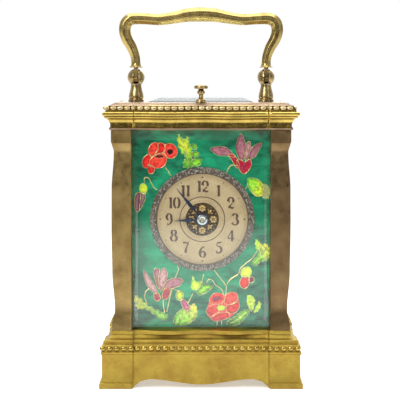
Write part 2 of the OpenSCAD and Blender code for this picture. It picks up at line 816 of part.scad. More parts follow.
module intermediate_wheel() {
    color(brass) slab(inter_at, -15.4, 1.2) crossed(wheel_i, 2.2, 1);
    color(steel) {
        arbor(inter_at, 0.9);
        slab(inter_at, 7.4, 3, turn_inter) gear(great_pinion, leaf);
    }
}

module centre_wheel() {
    color(brass) slab(centre_at, -9.6, 1.2) crossed(wheel_c, 2, 1);
    color(steel) {
        rod(centre_at, front_in + 0.3, back_in - 0.3, 1);
        rod(centre_at, collet_y - 0.3, front_in + 1, 0.7);
        rod(centre_at, back_in - 1, back_in + plate_t, 0.7);
        slab(centre_at, -16.2, 2.8, turn_centre) gear(pinion_c, leaf);
    }
}

module third_wheel() {
    color(brass) slab(third_at, -5.2, 1.1) crossed(wheel_t, 1.8, 0.9, 5, 0.9);
    color(steel) {
        arbor(third_at, 0.7);
        slab(third_at, -10.4, 2.8, turn_third) gear(pinion_t, leaf);
    }
}

crown_y = 1.35;

// Contrate wheel: its crown of teeth points back at the escape pinion
module contrate_wheel() {
    p = 360 / crown_teeth;
    color(brass) difference() {
        union() {
            slab(contrate_at, -0.8, 1) difference() {
                circle(crown_r + 0.6);
                difference() {
                    circle(crown_r - 1.2);
                    circle(1.8);
                    for (i = [0:3]) rotate(i * 90 + 45) translate([0, -0.45]) square([crown_r, 0.9]);
                }
            }
            slab(contrate_at, 0, crown_y) difference() {
                circle(crown_r + 0.5);
                circle(crown_r - 0.5);
            }
        }
        slab(contrate_at, crown_y - 0.95, 2) for (k = [0:crown_teeth - 1]) rotate(90 + (k + 0.5) * p)
            polygon([polar(crown_r - 1, -0.34 * p), polar(crown_r + 1, -0.34 * p),
                     polar(crown_r + 1, 0.34 * p), polar(crown_r - 1, 0.34 * p)]);
    }
    color(steel) {
        arbor(contrate_at, 0.65);
        slab(contrate_at, -6.2, 3, turn_contrate) gear(pinion_k, leaf);
    }
}

module upright(p, z0, z1, r) {
    translate([p.x, p.y, z0]) cylinder(h = z1 - z0, r = r);
}

module escape_wheel() {
    p = 360 / 15;
    color(steel) translate([escape_p.x, escape_p.y, 0]) {
        translate([0, 0, 111.2]) linear_extrude(0.5) difference() {
            polygon([for (k = [0:14], q = [[2.5, -0.42], [2.5, -0.1], [escape_r, 0.26], [escape_r, 0.34]])
                polar(q[0], (k + q[1]) * p)]);
            difference() {
                circle(2);
                circle(0.9);
                for (i = [0:3]) rotate(i * 90) translate([0, -0.25]) square([3, 0.5]);
            }
        }
        translate([0, 0, 103.9]) linear_extrude(3.4) polygon([for (k = [0:5], q = [
                [0.42, -0.12], [1.05, -0.09], [1.13, 0], [1.05, 0.09], [0.42, 0.12]])
            polar(q[0], -60 + (k + q[1]) * 60)]);
        translate([0, 0, 107]) cylinder(h = 5.2, r = 0.5);
        translate([0, 0, 102.8]) cylinder(h = 10.2, r = 0.3);
    }
}

// Lever with its two pallets just outside the escape wheel's tip circle
module pallet_lever() {
    reach = norm(escape_p - lever_p);
    color(steel) translate([lever_p.x, lever_p.y, 111.2]) {
        linear_extrude(0.5) {
            circle(0.8);
            for (s = [-1, 1]) polygon([[-0.4, s * 0.3], [0.5, 0], [2.8, s * 2.9], [2.5, s * 3.4],
                                       [2, s * 3.3]]);
            translate([-reach - 0.2, -0.3]) square([reach, 0.6]);
            for (s = [-1, 1]) translate([-reach - 1.2, s * 0.55 - 0.2]) square([1.3, 0.4]);
            translate([-reach - 0.2, -0.7]) square([0.6, 1.4]);
        }
        translate([0, 0, -1.2]) cylinder(h = 3, r = 0.25);
    }
}

module balance_wheel() {
    color(gilt) translate([balance_p.x, balance_p.y, 0]) {
        translate([0, 0, 114]) linear_extrude(1) difference() {
            circle(balance_r);
            difference() {
                circle(balance_r - 0.9);
                circle(1.1);
                translate([-balance_r, -0.5]) square([2 * balance_r, 1]);
            }
        }
        for (k = [0:11]) translate([0, 0, 114.5]) rotate([0, 90, 15 + 30 * k])
            translate([0, 0, balance_r - 0.3]) cylinder(h = 0.7, r = 0.35);
        translate([0, 0, 112.2]) cylinder(h = 0.6, r = 1.6);
        translate([0, 0, 112.1]) cylinder(h = 4.6, r = 0.55);
        translate([0, 0, 109.4]) cylinder(h = 9, r = 0.25);
    }
}

module hairspring() {
    color(blue_steel) translate([balance_p.x, balance_p.y, 116.2]) {
        for (i = [0:11]) translate([(i % 2) * 0.16, 0, 0]) rotate(180 * (i % 2))
            rotate_extrude(angle = 180) translate([1 + i * 0.16, 0]) square([0.09, 0.4]);
        translate([2.85, -0.5, -0.2]) cube([0.5, 1, 1.2]);
    }
}

module balance_cock() {
    color(brass) translate([balance_p.x, balance_p.y, 0]) difference() {
        union() {
            translate([0, 0, 117.2]) linear_extrude(1.3) hull() {
                circle(2.6);
                translate([-10.2, -2.4]) square([1.4, 4.8]);
            }
            span([-11.8, -4.2, platform_z + 1.5], [-8, 4.2, 118.5]);
            span([2, -0.6, 117.2], [3.6, 0.6, 118.5]);
        }
        upright([0, 0], 117, 119, 0.3);
        upright([0, 0], 112, 116.2, balance_r + 0.9);
    }
}

// Platform with the bridge over the escape wheel and the foot under its pinion
module platform() {
    color(gilt) difference() {
        union() {
            span([-17, -18.8, platform_z], [15, 18.8, platform_z + 1.5]);
            span([escape_p.x - 7, escape_y - 1.3, 112.4], [escape_p.x + 2, escape_y + 1.3, 113.3]);
            for (s = [-1, 1]) {
                span([escape_p.x - 2, escape_y + s * 5.6 - 1.2, platform_z + 1],
                     [escape_p.x + 2, escape_y + s * 5.6 + 1.2, 113.3]);
                span([escape_p.x - 1.4, escape_y + s * 3 - 3, 112.4],
                     [escape_p.x + 1.4, escape_y + s * 3 + 3, 113.3]);
            }
            span([escape_p.x - 1.2, escape_y + 2.4, 101.8], [escape_p.x + 1.2, escape_y + 3.6, platform_z + 1]);
            span([escape_p.x - 1.2, escape_y - 1, 101.8], [escape_p.x + 1.2, escape_y + 3.6, 103.3]);
        }
        upright(escape_p, 105, 111, 1.6);
        span([-7.1, -20, 105], [7.1, front_in + 0.1, 112]);
        upright(escape_p, 101, 114, 0.35);
        upright(lever_p, 107, 114, 0.3);
        upright(balance_p, 107, 113, 0.3);
        for (x = [-13.5, 11.5], y = [-16.9, 16.9])
            translate([x, y, platform_z + 1.1]) cylinder(h = 1, r = 1.2);
    }
}

/* ---- Strike train ---- */

module strike_second_wheel() {
    color(brass) slab(second_at, -15.4, 1.2) crossed(wheel_s, 2.2, 1);
    color(steel) {
        arbor(second_at, 0.9);
        slab(second_at, 7.4, 3, turn_second) gear(great_pinion, leaf);
    }
}

module pin_wheel() {
    color(brass) {
        slab(pin_at, 12.2, 1.2) crossed(wheel_p, 2, 2.2);
        for (k = [0:9]) rod(pin_at + polar(7.6, 36 * k), 13, 14.9, 0.35);
    }
    color(steel) {
        arbor(pin_at);
        slab(pin_at, -16.2, 2.8, turn_pin) gear(pinion_p, leaf);
    }
}

module fly() {
    color(brass) slab(fly_at, -11, 17, 25) square([11, 0.5], center = true);
    color(steel) {
        arbor(fly_at, 0.7);
        slab(fly_at, 11.4, 2.8, turn_fly) gear(pinion_f, leaf);
    }
}

/* ---- Gong, hammer and rack ---- */

gong_at = [0, 62];
gong_r = 20;
gong_y = 22;

module gong_coil() {
    x = gong_at.x + gong_r;
    color(blue_steel) {
        coiled(gong_at, gong_y, 1.1, gong_r, 2, 6, 1.1);
        span([x - 4.5, gong_y - 0.1, gong_at.y - 0.65], [x + 0.6, gong_y + 1.2, gong_at.y + 0.65]);
    }
}

module gong_block() {
    x = gong_at.x + gong_r;
    color(brass) difference() {
        span([x - 6.5, back_in + plate_t, gong_at.y - 2.4], [x - 2.2, gong_y + 2.6, gong_at.y + 2.4]);
        span([x - 4.52, gong_y - 0.12, gong_at.y - 0.67], [x + 2, gong_y + 1.22, gong_at.y + 0.67]);
    }
}

module hammer() {
    head = gong_at + [-5, 27.8];
    tail = hammer_at + 9.0 * (pin_at - hammer_at) / norm(pin_at - hammer_at);
    a = bearing(hammer_at, head);
    color(steel) {
        rod(hammer_at, front_in + 0.3, back_in + plate_t + 3, 0.9);
        rod(hammer_at, front_in - plate_t, 0, pivot_r);
        slab(hammer_at, back_in + plate_t + 1.6, 1, a)
            translate([0, -0.7]) square([norm(head - hammer_at), 1.4]);
        rod(hammer_at, back_in + plate_t + 1.4, back_in + plate_t + 2.8, 2);
        rod(head, back_in + plate_t + 1, back_in + plate_t + 6, 2.6);
        slab(hammer_at, 13.8, 1.1, bearing(hammer_at, tail))
            translate([0, -0.5]) square([9, 1]);
    }
}

rack_y = front_in - plate_t - 5.4;

// The snail falls by snail_step an hour, which turns the rack by one of its teeth
snail_r = 6;
snail_step = 0.31;
rack_tail = 18;
rack_tooth = snail_step / rack_tail * 180 / PI;
snail_turn = 250 - 30 * (show_hour - 1 + show_minute / 60);

// Rack: toothed sector above its stud, and the tail that falls on the snail
module rack() {
    a = bearing(rack_at, centre_at) - 21;
    color(steel) difference() {
        union() {
            slab(rack_at, rack_y, 0.6) circle(1.8);
            slab(rack_at, rack_y, 0.6) polygon([polar(1.5, a + 100), polar(1.5, a - 100),
                polar(rack_tail, a - 1.4), polar(rack_tail + 0.3, a), polar(rack_tail, a + 1.4)]);
            slab(rack_at, rack_y, 0.6) polygon([[1.1, 1.1], [-1.1, 1.1], polar(13, 98), polar(13, 84)]);
            slab(rack_at, rack_y, 0.6) polygon(concat(
                [for (i = [0:6]) polar(11.8, 82 + 3.3 * i)],
                [for (k = [14:-1:0], q = [0, 1]) polar(14.4 - 0.35 * q, 82 + rack_tooth * (k + 1 - q * 0.8))]
            ));
        }
        rod(rack_at, rack_y - 1, rack_y + 2, 0.75);
    }
}

/* ---- Motion work ---- */

module cannon_pinion() {
    color(steel) difference() {
        union() {
            slab(centre_at, front_in - plate_t - 2.4, 2.2) gear(cannon, leaf);
            rod(centre_at, minute_hand_y, front_in - plate_t - 0.2, 1.2);
            rod(centre_at, hour_hand_y - 0.2, front_in - plate_t - 2, 1.4);
        }
        rod(centre_at, minute_hand_y - 1, front_in, 0.72);
    }
}

module minute_wheel() {
    color(brass) difference() {
        union() {
            slab(minute_at, front_in - plate_t - 1.8, 1, turn_minute) crossed(minute_w, 2.2, 0.8, 4, 1);
            slab(minute_at, front_in - plate_t - 5, 3.3) gear(minute_p, leaf);
        }
        rod(minute_at, front_in - plate_t - 9, front_in, 0.65);
    }
}

// Hour wheel on its pipe, with the snail of twelve steps in front of it
module hour_wheel() {
    y = front_in - plate_t - 4.8;
    color(brass) difference() {
        union() {
            slab(centre_at, y, 1, turn_hour) gear(hour_w, wheel_tooth);
            rod(centre_at, hour_hand_y, y + 1.4, 1.95);
            slab(centre_at, rack_y, 0.7, snail_turn) polygon([for (k = [0:11], q = [0, 1])
                polar(snail_r - snail_step * k, 30 * (k + q * 0.98))]);
        }
        rod(centre_at, hour_hand_y - 1, y + 3, 1.45);
    }
}

/* ---- Nodes ---- */

base_plinth();
bottom_plate();
pillar(-1, -1);  // pillar_front_left
pillar(1, -1);  // pillar_front_right
pillar(-1, 1);  // pillar_rear_left
pillar(1, 1);  // pillar_rear_right
cornice();
case_bolts();
top_glass();
front_glass();
side_glass(-1);  // side_glass_left
side_glass(1);  // side_glass_right
enamel_panel();
dial_ring();
dial_plate();
dial_centre();
handle_post(-1);  // handle_post_left
handle_post(1);  // handle_post_right
handle_pins();
handle();
repeat_button();
button_bush();
repeat_lever();
door_frame();
door_glass();
door_knob();
door_pins();
front_plate();
back_plate();
platform();
balance_cock();
hairspring();
balance_wheel();
pallet_lever();
escape_wheel();
contrate_wheel();
third_wheel();
centre_wheel();
intermediate_wheel();
barrel(going_at);  // going_barrel
mainspring(going_at);  // going_mainspring
winding_arbor(going_at);  // going_arbor
click(going_at);  // going_click
barrel(strike_at);  // strike_barrel
mainspring(strike_at);  // strike_mainspring
winding_arbor(strike_at);  // strike_arbor
click(strike_at);  // strike_click
strike_second_wheel();
pin_wheel();
fly();
hammer();
gong_coil();
gong_block();
cannon_pinion();
minute_wheel();
hour_wheel();
rack();
hour_hand();
minute_hand();
hand_collet();
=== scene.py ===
"""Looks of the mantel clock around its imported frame.

Lengths are millimetres in the row frame unless a name or comment says otherwise.
"""

import math

import bmesh
import bpy
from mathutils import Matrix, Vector, noise
from mathutils.geometry import delaunay_2d_cdt as delaunay


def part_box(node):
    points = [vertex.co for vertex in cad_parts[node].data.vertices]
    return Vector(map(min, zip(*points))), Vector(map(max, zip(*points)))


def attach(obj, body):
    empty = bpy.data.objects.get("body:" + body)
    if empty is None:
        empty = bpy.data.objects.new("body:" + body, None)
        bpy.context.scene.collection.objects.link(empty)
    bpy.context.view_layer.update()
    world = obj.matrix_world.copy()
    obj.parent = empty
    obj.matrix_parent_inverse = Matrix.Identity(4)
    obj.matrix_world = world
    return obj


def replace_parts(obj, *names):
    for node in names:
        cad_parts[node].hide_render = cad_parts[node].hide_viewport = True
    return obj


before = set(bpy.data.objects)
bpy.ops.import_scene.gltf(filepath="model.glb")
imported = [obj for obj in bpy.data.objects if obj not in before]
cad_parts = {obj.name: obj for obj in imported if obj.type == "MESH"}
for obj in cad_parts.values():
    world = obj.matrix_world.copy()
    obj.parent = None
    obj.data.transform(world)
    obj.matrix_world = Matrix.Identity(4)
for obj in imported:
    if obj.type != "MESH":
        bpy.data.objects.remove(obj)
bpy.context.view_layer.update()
MM = 0.001
CASE = "case"


def box_mm(node):
    """Lowest and highest corner of a CAD node, in millimetres."""
    low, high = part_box(node)
    return low / MM, high / MM


def add_object(name, data):
    o = bpy.data.objects.new(name, data)
    bpy.context.scene.collection.objects.link(o)
    return o


def add_bevel(o, width, angle, harden=False):
    """Rounds the edges sharper than angle, in degrees."""
    m = o.modifiers.new("edge", "BEVEL")
    m.width = width * MM
    m.segments = 2
    m.limit_method = "ANGLE"
    m.angle_limit = math.radians(angle)
    m.harden_normals = harden


# ---------------------------------------------------------------- materials


class Shader:
    """A small builder for node materials around one Principled shader."""

    def __init__(self, name, **values):
        self.material = bpy.data.materials.new(name)
        self.material.use_nodes = True
        self.tree = self.material.node_tree
        self.bsdf = self.tree.nodes["Principled BSDF"]
        self.coords = None
        for key, value in values.items():
            self.bsdf.inputs[key.replace("_", " ")].default_value = value

    def node(self, kind, inputs=(), **attributes):
        n = self.tree.nodes.new(kind)
        for key, value in attributes.items():
            setattr(n, key, value)
        for key, value in dict(inputs).items():
            self.feed(n.inputs[key], value)
        return n

    def feed(self, socket, value):
        if isinstance(value, bpy.types.NodeSocket):
            self.tree.links.new(value, socket)
        else:
            socket.default_value = value

    def place(self, scale=(1, 1, 1)):
        """Object coordinates in millimetres, scaled."""
        if self.coords is None:
            self.coords = self.node("ShaderNodeTexCoord").outputs["Object"]
        mapping = self.node("ShaderNodeMapping", {"Vector": self.coords})
        mapping.inputs["Scale"].default_value = [s / MM for s in scale]
        return mapping.outputs[0]

    def noise(self, size, detail=3.0, stretch=(1, 1, 1), rough=0.55):
        """Noise with features about size millimetres across."""
        n = self.node("ShaderNodeTexNoise", {"Vector": self.place(stretch)})
        n.inputs["Scale"].default_value = 1 / size
        n.inputs["Detail"].default_value = detail
        n.inputs["Roughness"].default_value = rough
        return n.outputs["Fac"]

    def ramp(self, value, *stops):
        r = self.node("ShaderNodeValToRGB", {"Fac": value})
        e = r.color_ramp.elements
        while len(e) < len(stops):
            e.new(0.5)
        for element, (position, colour) in zip(e, stops):
            element.position = position
            grey = isinstance(colour, (int, float))
            element.color = (colour,) * 3 + (1,) if grey else (*colour, 1)
        return r.outputs["Color"]

    def math(self, operation, a, b=0.0):
        n = self.node("ShaderNodeMath", operation=operation)
        self.feed(n.inputs[0], a)
        self.feed(n.inputs[1], b)
        return n.outputs[0]

    def mix(self, factor, a, b, blend="MIX"):
        n = self.node("ShaderNodeMix", data_type="RGBA", blend_type=blend)
        self.feed(n.inputs[0], factor)
        self.feed(n.inputs[6], a if isinstance(a, bpy.types.NodeSocket) else (*a, 1))
        self.feed(n.inputs[7], b if isinstance(b, bpy.types.NodeSocket) else (*b, 1))
        return n.outputs[2]

    def bump(self, height, distance, strength=1.0):
        """Bump of so many millimetres, added to any bump made before."""
        n = self.node("ShaderNodeBump")
        n.inputs["Distance"].default_value = distance * MM
        n.inputs["Strength"].default_value = strength
        self.feed(n.inputs["Height"], height)
        before = self.bsdf.inputs["Normal"].links
        if before:
            self.feed(n.inputs["Normal"], before[0].from_socket)
        self.feed(self.bsdf.inputs["Normal"], n.outputs[0])

    def span(self, value, low, high, to_low=0.0, to_high=1.0):
        """value's range low to high laid on to_low to to_high."""
        return self.node("ShaderNodeMapRange", {
            "Value": value, "From Min": low, "From Max": high, "To Min": to_low, "To Max": to_high,
        }).outputs[0]

    def set(self, **links):
        for key, value in links.items():
            self.feed(self.bsdf.inputs[key.replace("_", " ")], value)


def recess(s, distance):
    """Ambient occlusion: 1 on open faces, lower in corners and crevices where shade falls."""
    n = s.node("ShaderNodeAmbientOcclusion", samples=6)
    n.inputs["Distance"].default_value = distance * MM
    return n.outputs["AO"]


def brass(name, bright, dull, dirt_and_shade, rough=(0.22, 0.42), grain=0.02, patch=9.0, pits=0.0, specks=0.5,
          dirt_and_shade_depth=1.0, painted_side_shade=None):
    """Old brass: bright metal with duller patches, painted shade and dirt in the crevices, fine scratches and
    pits.

    painted_side_shade is painted shade: a tint that darkens the brass towards the right-hand pillars, where less
    light falls.
    """
    s = Shader(name, Metallic=1.0)
    patches = s.noise(patch, 5.0)
    body = s.mix(s.ramp(patches, (0.38, 0.0), (0.66, 1.0)), bright, dull)
    speck = s.noise(0.9, 2.0)
    body = s.mix(s.ramp(speck, (0.60, 0.0), (0.74, specks)), body, dirt_and_shade)
    # Painted shade along with dirt: ambient occlusion darkens corners and crevices towards the dirt colour
    dirt_and_shade_mask = s.ramp(recess(s, 1.6), (0.35, dirt_and_shade_depth), (0.8, 0.0))
    body = s.mix(dirt_and_shade_mask, body, dirt_and_shade)
    # Painted shade: the brass darkens towards +x, the side the light falls less on
    if painted_side_shade:
        across = s.node("ShaderNodeSeparateXYZ", {"Vector": s.place()}).outputs["X"]
        body = s.mix(s.span(across, -20.0, 30.0), body, s.mix(1.0, body, painted_side_shade, "MULTIPLY"))
    s.set(Base_Color=body, Roughness=s.span(s.noise(2.5, 4.0), 0.3, 0.7, *rough))
    s.bump(s.noise(0.35, 2.0, (1, 1, 4)), grain)
    if pits:
        s.bump(s.ramp(s.noise(0.7, 3.0), (0.42, 0.0), (0.52, 1.0)), pits)
    return s.material


M_CASE = brass("case_brass", (0.56, 0.40, 0.10), (0.34, 0.24, 0.055), (0.07, 0.042, 0.012), (0.09, 0.24),
               specks=0.3, dirt_and_shade_depth=0.3)
M_PLINTH = brass("plinth_brass", (0.45, 0.325, 0.06), (0.36, 0.235, 0.045), (0.17, 0.10, 0.025),
                 (0.40, 0.58), 0.03, 7.0, 0.02, 0.6, 0.3)
# The pillars carry painted shade that darkens the right-hand pair
M_PILLAR = brass("pillar_brass", (0.32, 0.225, 0.085), (0.22, 0.145, 0.052), (0.10, 0.055, 0.02), (0.26, 0.45),
                 specks=0.3, painted_side_shade=(0.66, 0.62, 0.78))
# Paler brass of the top plate, also laid on the cornice's bottom bead as a painted highlight
M_PLATE_AND_BEAD_HIGHLIGHT = brass("top_plate_and_bead_highlight", (0.40, 0.29, 0.19), (0.30, 0.20, 0.12), (0.12, 0.07, 0.04), (0.3, 0.5),
                specks=0.3)
M_TONGUE = brass("tongue_brass", (0.66, 0.52, 0.28), (0.46, 0.34, 0.17), (0.16, 0.10, 0.04), (0.25, 0.4),
                 patch=5.0, specks=0.3, dirt_and_shade_depth=0.8)
M_HANDLE = brass("handle_brass", (0.46, 0.345, 0.12), (0.29, 0.21, 0.07), (0.10, 0.07, 0.025), (0.22, 0.36),
                 0.0, 7.0, 0.0, 0.1, 0.2)
M_POST = brass("post_brass", (0.44, 0.325, 0.14), (0.24, 0.17, 0.07), (0.07, 0.045, 0.02), (0.2, 0.36), 0.01,
               3.0, 0.0, 0.3)


def plain_metal(name, colour, dull, rough, stretch=(1, 1, 1), grain=0.008, metallic=1.0):
    """Clean metal, or paint where metallic is 0, with faint clouds and a fine grain."""
    s = Shader(name, Metallic=metallic)
    s.set(Base_Color=s.mix(s.ramp(s.noise(3.0, 4.0), (0.35, 0.0), (0.7, 1.0)), colour, dull))
    s.set(Roughness=s.span(s.noise(1.2, 3.0), 0.0, 1.0, rough * 0.7, rough * 1.3))
    s.bump(s.noise(0.2, 2.0, stretch), grain)
    return s.material


M_STEEL = plain_metal("steel", (0.70, 0.71, 0.73), (0.52, 0.53, 0.55), 0.22)
M_BLUED = plain_metal("blued_steel", (0.065, 0.075, 0.13), (0.035, 0.04, 0.065), 0.3)
M_MOVEMENT = plain_metal("movement_brass", (0.86, 0.66, 0.30), (0.76, 0.56, 0.23), 0.24, (1, 1, 6))
M_SILVERED = plain_metal("silvered_brass", (0.84, 0.80, 0.70), (0.72, 0.66, 0.54), 0.30, (4, 1, 1))


def glass_material(name, haze, rough, head_on=0.028):
    """Clear pane that mirrors more the flatter it is seen, and lets the rest straight through.

    head_on is the share mirrored when seen square on, and haze is added to it at every angle.
    """
    s = Shader(name, Metallic=1.0, Roughness=rough)
    clouds = s.ramp(s.noise(20.0, 2.0), (0.3, 0.0), (0.7, 1.0))
    s.set(Base_Color=s.mix(clouds, (0.92, 0.98, 0.96), (0.98, 1.0, 0.99)))
    s.bump(s.noise(30.0, 1.0), 0.01)
    clear = s.node("ShaderNodeBsdfTransparent", {"Color": (0.96, 0.985, 0.975, 1)})
    facing = s.node("ShaderNodeLayerWeight", {"Blend": 0.5}).outputs["Facing"]
    amount = s.math("ADD", s.math("POWER", facing, 5.0), head_on + haze)
    both = s.node("ShaderNodeMixShader", {0: amount, 1: clear.outputs[0], 2: s.bsdf.outputs[0]})
    s.feed(s.tree.nodes["Material Output"].inputs["Surface"], both.outputs[0])
    return s.material


M_GLASS = glass_material("glass", 0.018, 0.07)
M_TOP_GLASS = glass_material("top_glass", 0.34, 0.10)
M_BEVEL = glass_material("glass_bevel", 0.07, 0.12)


# ---------------------------------------------------------------- mesh helpers


def new_object(name, verts, faces, material, body=CASE, slot=None, sharp=38, bevel=0.0):
    """A mesh object from millimetre vertices, smooth but for edges sharper than the angle, riding on a body."""
    mesh = bpy.data.meshes.new(name)
    mesh.from_pydata([Vector(v) * MM for v in verts], [], faces)
    mesh.validate()
    bm = bmesh.new()
    bm.from_mesh(mesh)
    bmesh.ops.remove_doubles(bm, verts=bm.verts, dist=1e-7)
    bmesh.ops.recalc_face_normals(bm, faces=bm.faces)
    bm.to_mesh(mesh)
    bm.free()
    mesh.shade_smooth()
    mesh.set_sharp_from_angle(angle=math.radians(sharp))
    mesh.materials.append(material)
    o = add_object(name, mesh)
    if bevel:
        add_bevel(o, bevel, sharp, harden=True)
    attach(o, body)
    return o


def grid_faces(rings, n, start=0):
    """Quads between consecutive closed rings of n points."""
    out = []
    for r in range(rings - 1):
        for k in range(n):
            a = start + r * n + k
            b = start + r * n + (k + 1) % n
            out.append((a, b, b + n, a + n))
    return out


def ends(verts, n):
    """Faces that close the first and the last ring of n points."""
    return [tuple(range(n)), tuple(range(len(verts) - n, len(verts)))]


def lathe(name, profile, centre, material, axis="Z", n=48, tube=False, **options):
    """A solid of revolution from (radius, height) pairs; a tube's profile closes on itself."""
    verts = []
    for r, h in profile:
        for k in range(n):
            a = 2 * math.pi * k / n
            x, y = r * math.cos(a), r * math.sin(a)
            p = {"Z": (x, y, h), "Y": (x, h, y), "X": (h, x, y)}[axis]
            verts.append(Vector(p) + Vector(centre))
    faces = grid_faces(len(profile), n)
    if tube:
        last = (len(profile) - 1) * n
        faces += [(last + k, last + (k + 1) % n, (k + 1) % n, k) for k in range(n)]
    return new_object(name, verts, faces, material, **options)


def catmull(points, steps, closed=False):
    """A smooth curve through points of any dimension."""
    n = len(points)
    spans = n if closed else n - 1
    out = []
    for i in range(spans):
        if closed:
            a, b, c, d = (points[(i + k) % n] for k in (-1, 0, 1, 2))
        else:
            a, b, c, d = (points[min(max(i + k, 0), n - 1)] for k in (-1, 0, 1, 2))
        for s in range(steps):
            t = s / steps
            out.append(tuple(
                0.5 * (2 * q + (r - p) * t + (2 * p - 5 * q + 4 * r - w) * t * t
                       + (3 * q - p - 3 * r + w) * t ** 3)
                for p, q, r, w in zip(a, b, c, d)
            ))
    if not closed:
        out.append(tuple(points[-1]))
    return out


def smooth_step(t):
    t = min(max(t, 0.0), 1.0)
    return t * t * (3 - 2 * t)


# ---------------------------------------------------------------- camera, lights and floor

BASE_LOW, BASE_HIGH = box_mm("base_plinth")
EYE = Vector((-0.2, BASE_LOW.y - 700, 148.0))
AIM = Vector((-0.5, BASE_LOW.y, 90.6))

camera = add_object("camera", bpy.data.cameras.new("camera"))
camera.data.lens = 133.8
camera.data.sensor_width = 36
camera.data.clip_start = 50 * MM
camera.location = EYE * MM
camera.rotation_euler = (AIM - EYE).to_track_quat("-Z", "Y").to_euler()
bpy.context.scene.camera = camera


def area_light(name, place, target, size, power, colour=(1, 1, 1)):
    lamp = bpy.data.lights.new(name, "AREA")
    lamp.shape = "RECTANGLE"
    lamp.size, lamp.size_y = size[0] * MM, size[1] * MM
    lamp.energy = power
    lamp.color = colour
    o = add_object(name, lamp)
    o.location = Vector(place) * MM
    o.rotation_euler = (Vector(target) - Vector(place)).to_track_quat("-Z", "Y").to_euler()


area_light("key", (-380, -600, 520), (0, 0, 90), (260, 420), 3.4, (1.0, 0.98, 0.95))
area_light("fill", (520, -520, 300), (0, 0, 80), (220, 460), 0.5, (0.97, 0.98, 1.0))
area_light("top", (0, 40, 620), (0, 0, 90), (560, 420), 2.6)
area_light("back", (120, 700, 420), (0, 0, 90), (520, 360), 1.5)

world = bpy.data.worlds.new("studio")
bpy.context.scene.world = world
world.use_nodes = True
wt = world.node_tree


def world_node(kind, **attributes):
    n = wt.nodes.new(kind)
    for key, value in attributes.items():
        setattr(n, key, value)
    return n


def world_ramp(source, *levels):
    """Grey levels over a direction component that runs from -1 to 1."""
    span = world_node("ShaderNodeMapRange")
    span.inputs["From Min"].default_value = -1
    wt.links.new(source, span.inputs["Value"])
    r = world_node("ShaderNodeValToRGB")
    wt.links.new(span.outputs[0], r.inputs["Fac"])
    e = r.color_ramp.elements
    while len(e) < len(levels):
        e.new(0.5)
    for stop, (at, level) in zip(e, levels):
        stop.position = (at + 1) / 2
        stop.color = (level, level, level, 1)
    return r.outputs["Color"]


def world_mix(kind, factor, a, b):
    n = world_node("ShaderNodeMix", data_type="RGBA", blend_type=kind)
    for socket, value in zip((n.inputs[0], n.inputs[6], n.inputs[7]), (factor, a, b)):
        if isinstance(value, bpy.types.NodeSocket):
            wt.links.new(value, socket)
        else:
            socket.default_value = value
    return n.outputs[2]


split = world_node("ShaderNodeSeparateXYZ")
wt.links.new(world_node("ShaderNodeTexCoord").outputs["Generated"], split.inputs[0])
WHITE = (1, 1, 1, 1)
# Dark round the horizon in front, with bright and dim bands above it for the mouldings to mirror
front_sky = world_ramp(split.outputs["Z"], (-1.0, 0.25), (-0.45, 0.42), (-0.14, 0.06), (0.1, 0.08), (0.3, 0.6),
                       (0.5, 0.28), (0.75, 0.7), (1.0, 0.55))
rear_share = world_ramp(split.outputs["Y"], (-0.12, 0.0), (0.45, 1.0))
surround = world_mix("MIX", rear_share, front_sky, (0.9, 0.91, 0.93, 1))
seen = world_node("ShaderNodeLightPath").outputs["Is Camera Ray"]
wt.links.new(world_mix("MIX", seen, surround, WHITE), wt.nodes["Background"].inputs["Color"])
bpy.context.scene.view_settings.view_transform = "Standard"

# The table's far edges are out of sight; its near edge bounds what the front glass can mirror. In metres.
TABLE_REACH = 6.0
TABLE_EDGE = -0.81
floor_shader = Shader("floor", Roughness=0.9, Emission_Color=(1, 1, 1, 1), Emission_Strength=0.42)
floor_shader.set(Base_Color=floor_shader.mix(floor_shader.noise(60.0, 2.0), (0.93,) * 3, (0.90,) * 3))
floor_mesh = bpy.data.meshes.new("floor")
floor_mesh.from_pydata([(-TABLE_REACH, TABLE_EDGE, 0), (TABLE_REACH, TABLE_EDGE, 0), (TABLE_REACH, TABLE_REACH,
                                                                                      0),
                        (-TABLE_REACH, TABLE_REACH, 0)], [], [(0, 1, 2, 3)])
floor_mesh.materials.append(floor_shader.material)
add_object("floor", floor_mesh)

# ---------------------------------------------------------------- mouldings of base and cornice

HALF_X = BASE_HIGH.x
HALF_Y = BASE_HIGH.y
PILLAR_BASE = BASE_HIGH.z
CORNICE_LOW, CORNICE_HIGH = box_mm("cornice")
PILLAR_TOP = CORNICE_LOW.z
TOP_Z = CORNICE_HIGH.z
# The corner blocks end this far from the middle of the front, and the sides between them stand back
BREAK_AT = 33.2
CROWN_BREAK = 32.7
SIDE_BREAK_LESS = 6.7
BREAK_WIDTH = 1.5
BREAK_IN = 1.2


def side(break_at):
    """Places along a side as (sign, part, share or distance from the middle, recess 0 to 1)."""
    half = [("block", t, 0.0) for t in (1.0, 0.66, 0.33, 0.0)]
    inner = break_at - BREAK_WIDTH
    half += [("mid", break_at - BREAK_WIDTH * t, smooth_step(t)) for t in (0.2, 0.4, 0.6, 0.8, 1.0)]
    half += [("mid", inner * (1 - k / 14), 1.0) for k in range(1, 15)]
    return [(-1, *s) for s in half] + [(1, *s) for s in reversed(half[:-1])]


SIDES = (
    (Vector((1, 0)), Vector((0, -1)), 0.0, 0),
    (Vector((0, 1)), Vector((1, 0)), SIDE_BREAK_LESS, 1),
    (Vector((-1, 0)), Vector((0, 1)), 0.0, 0),
    (Vector((0, -1)), Vector((-1, 0)), SIDE_BREAK_LESS, 1),
)


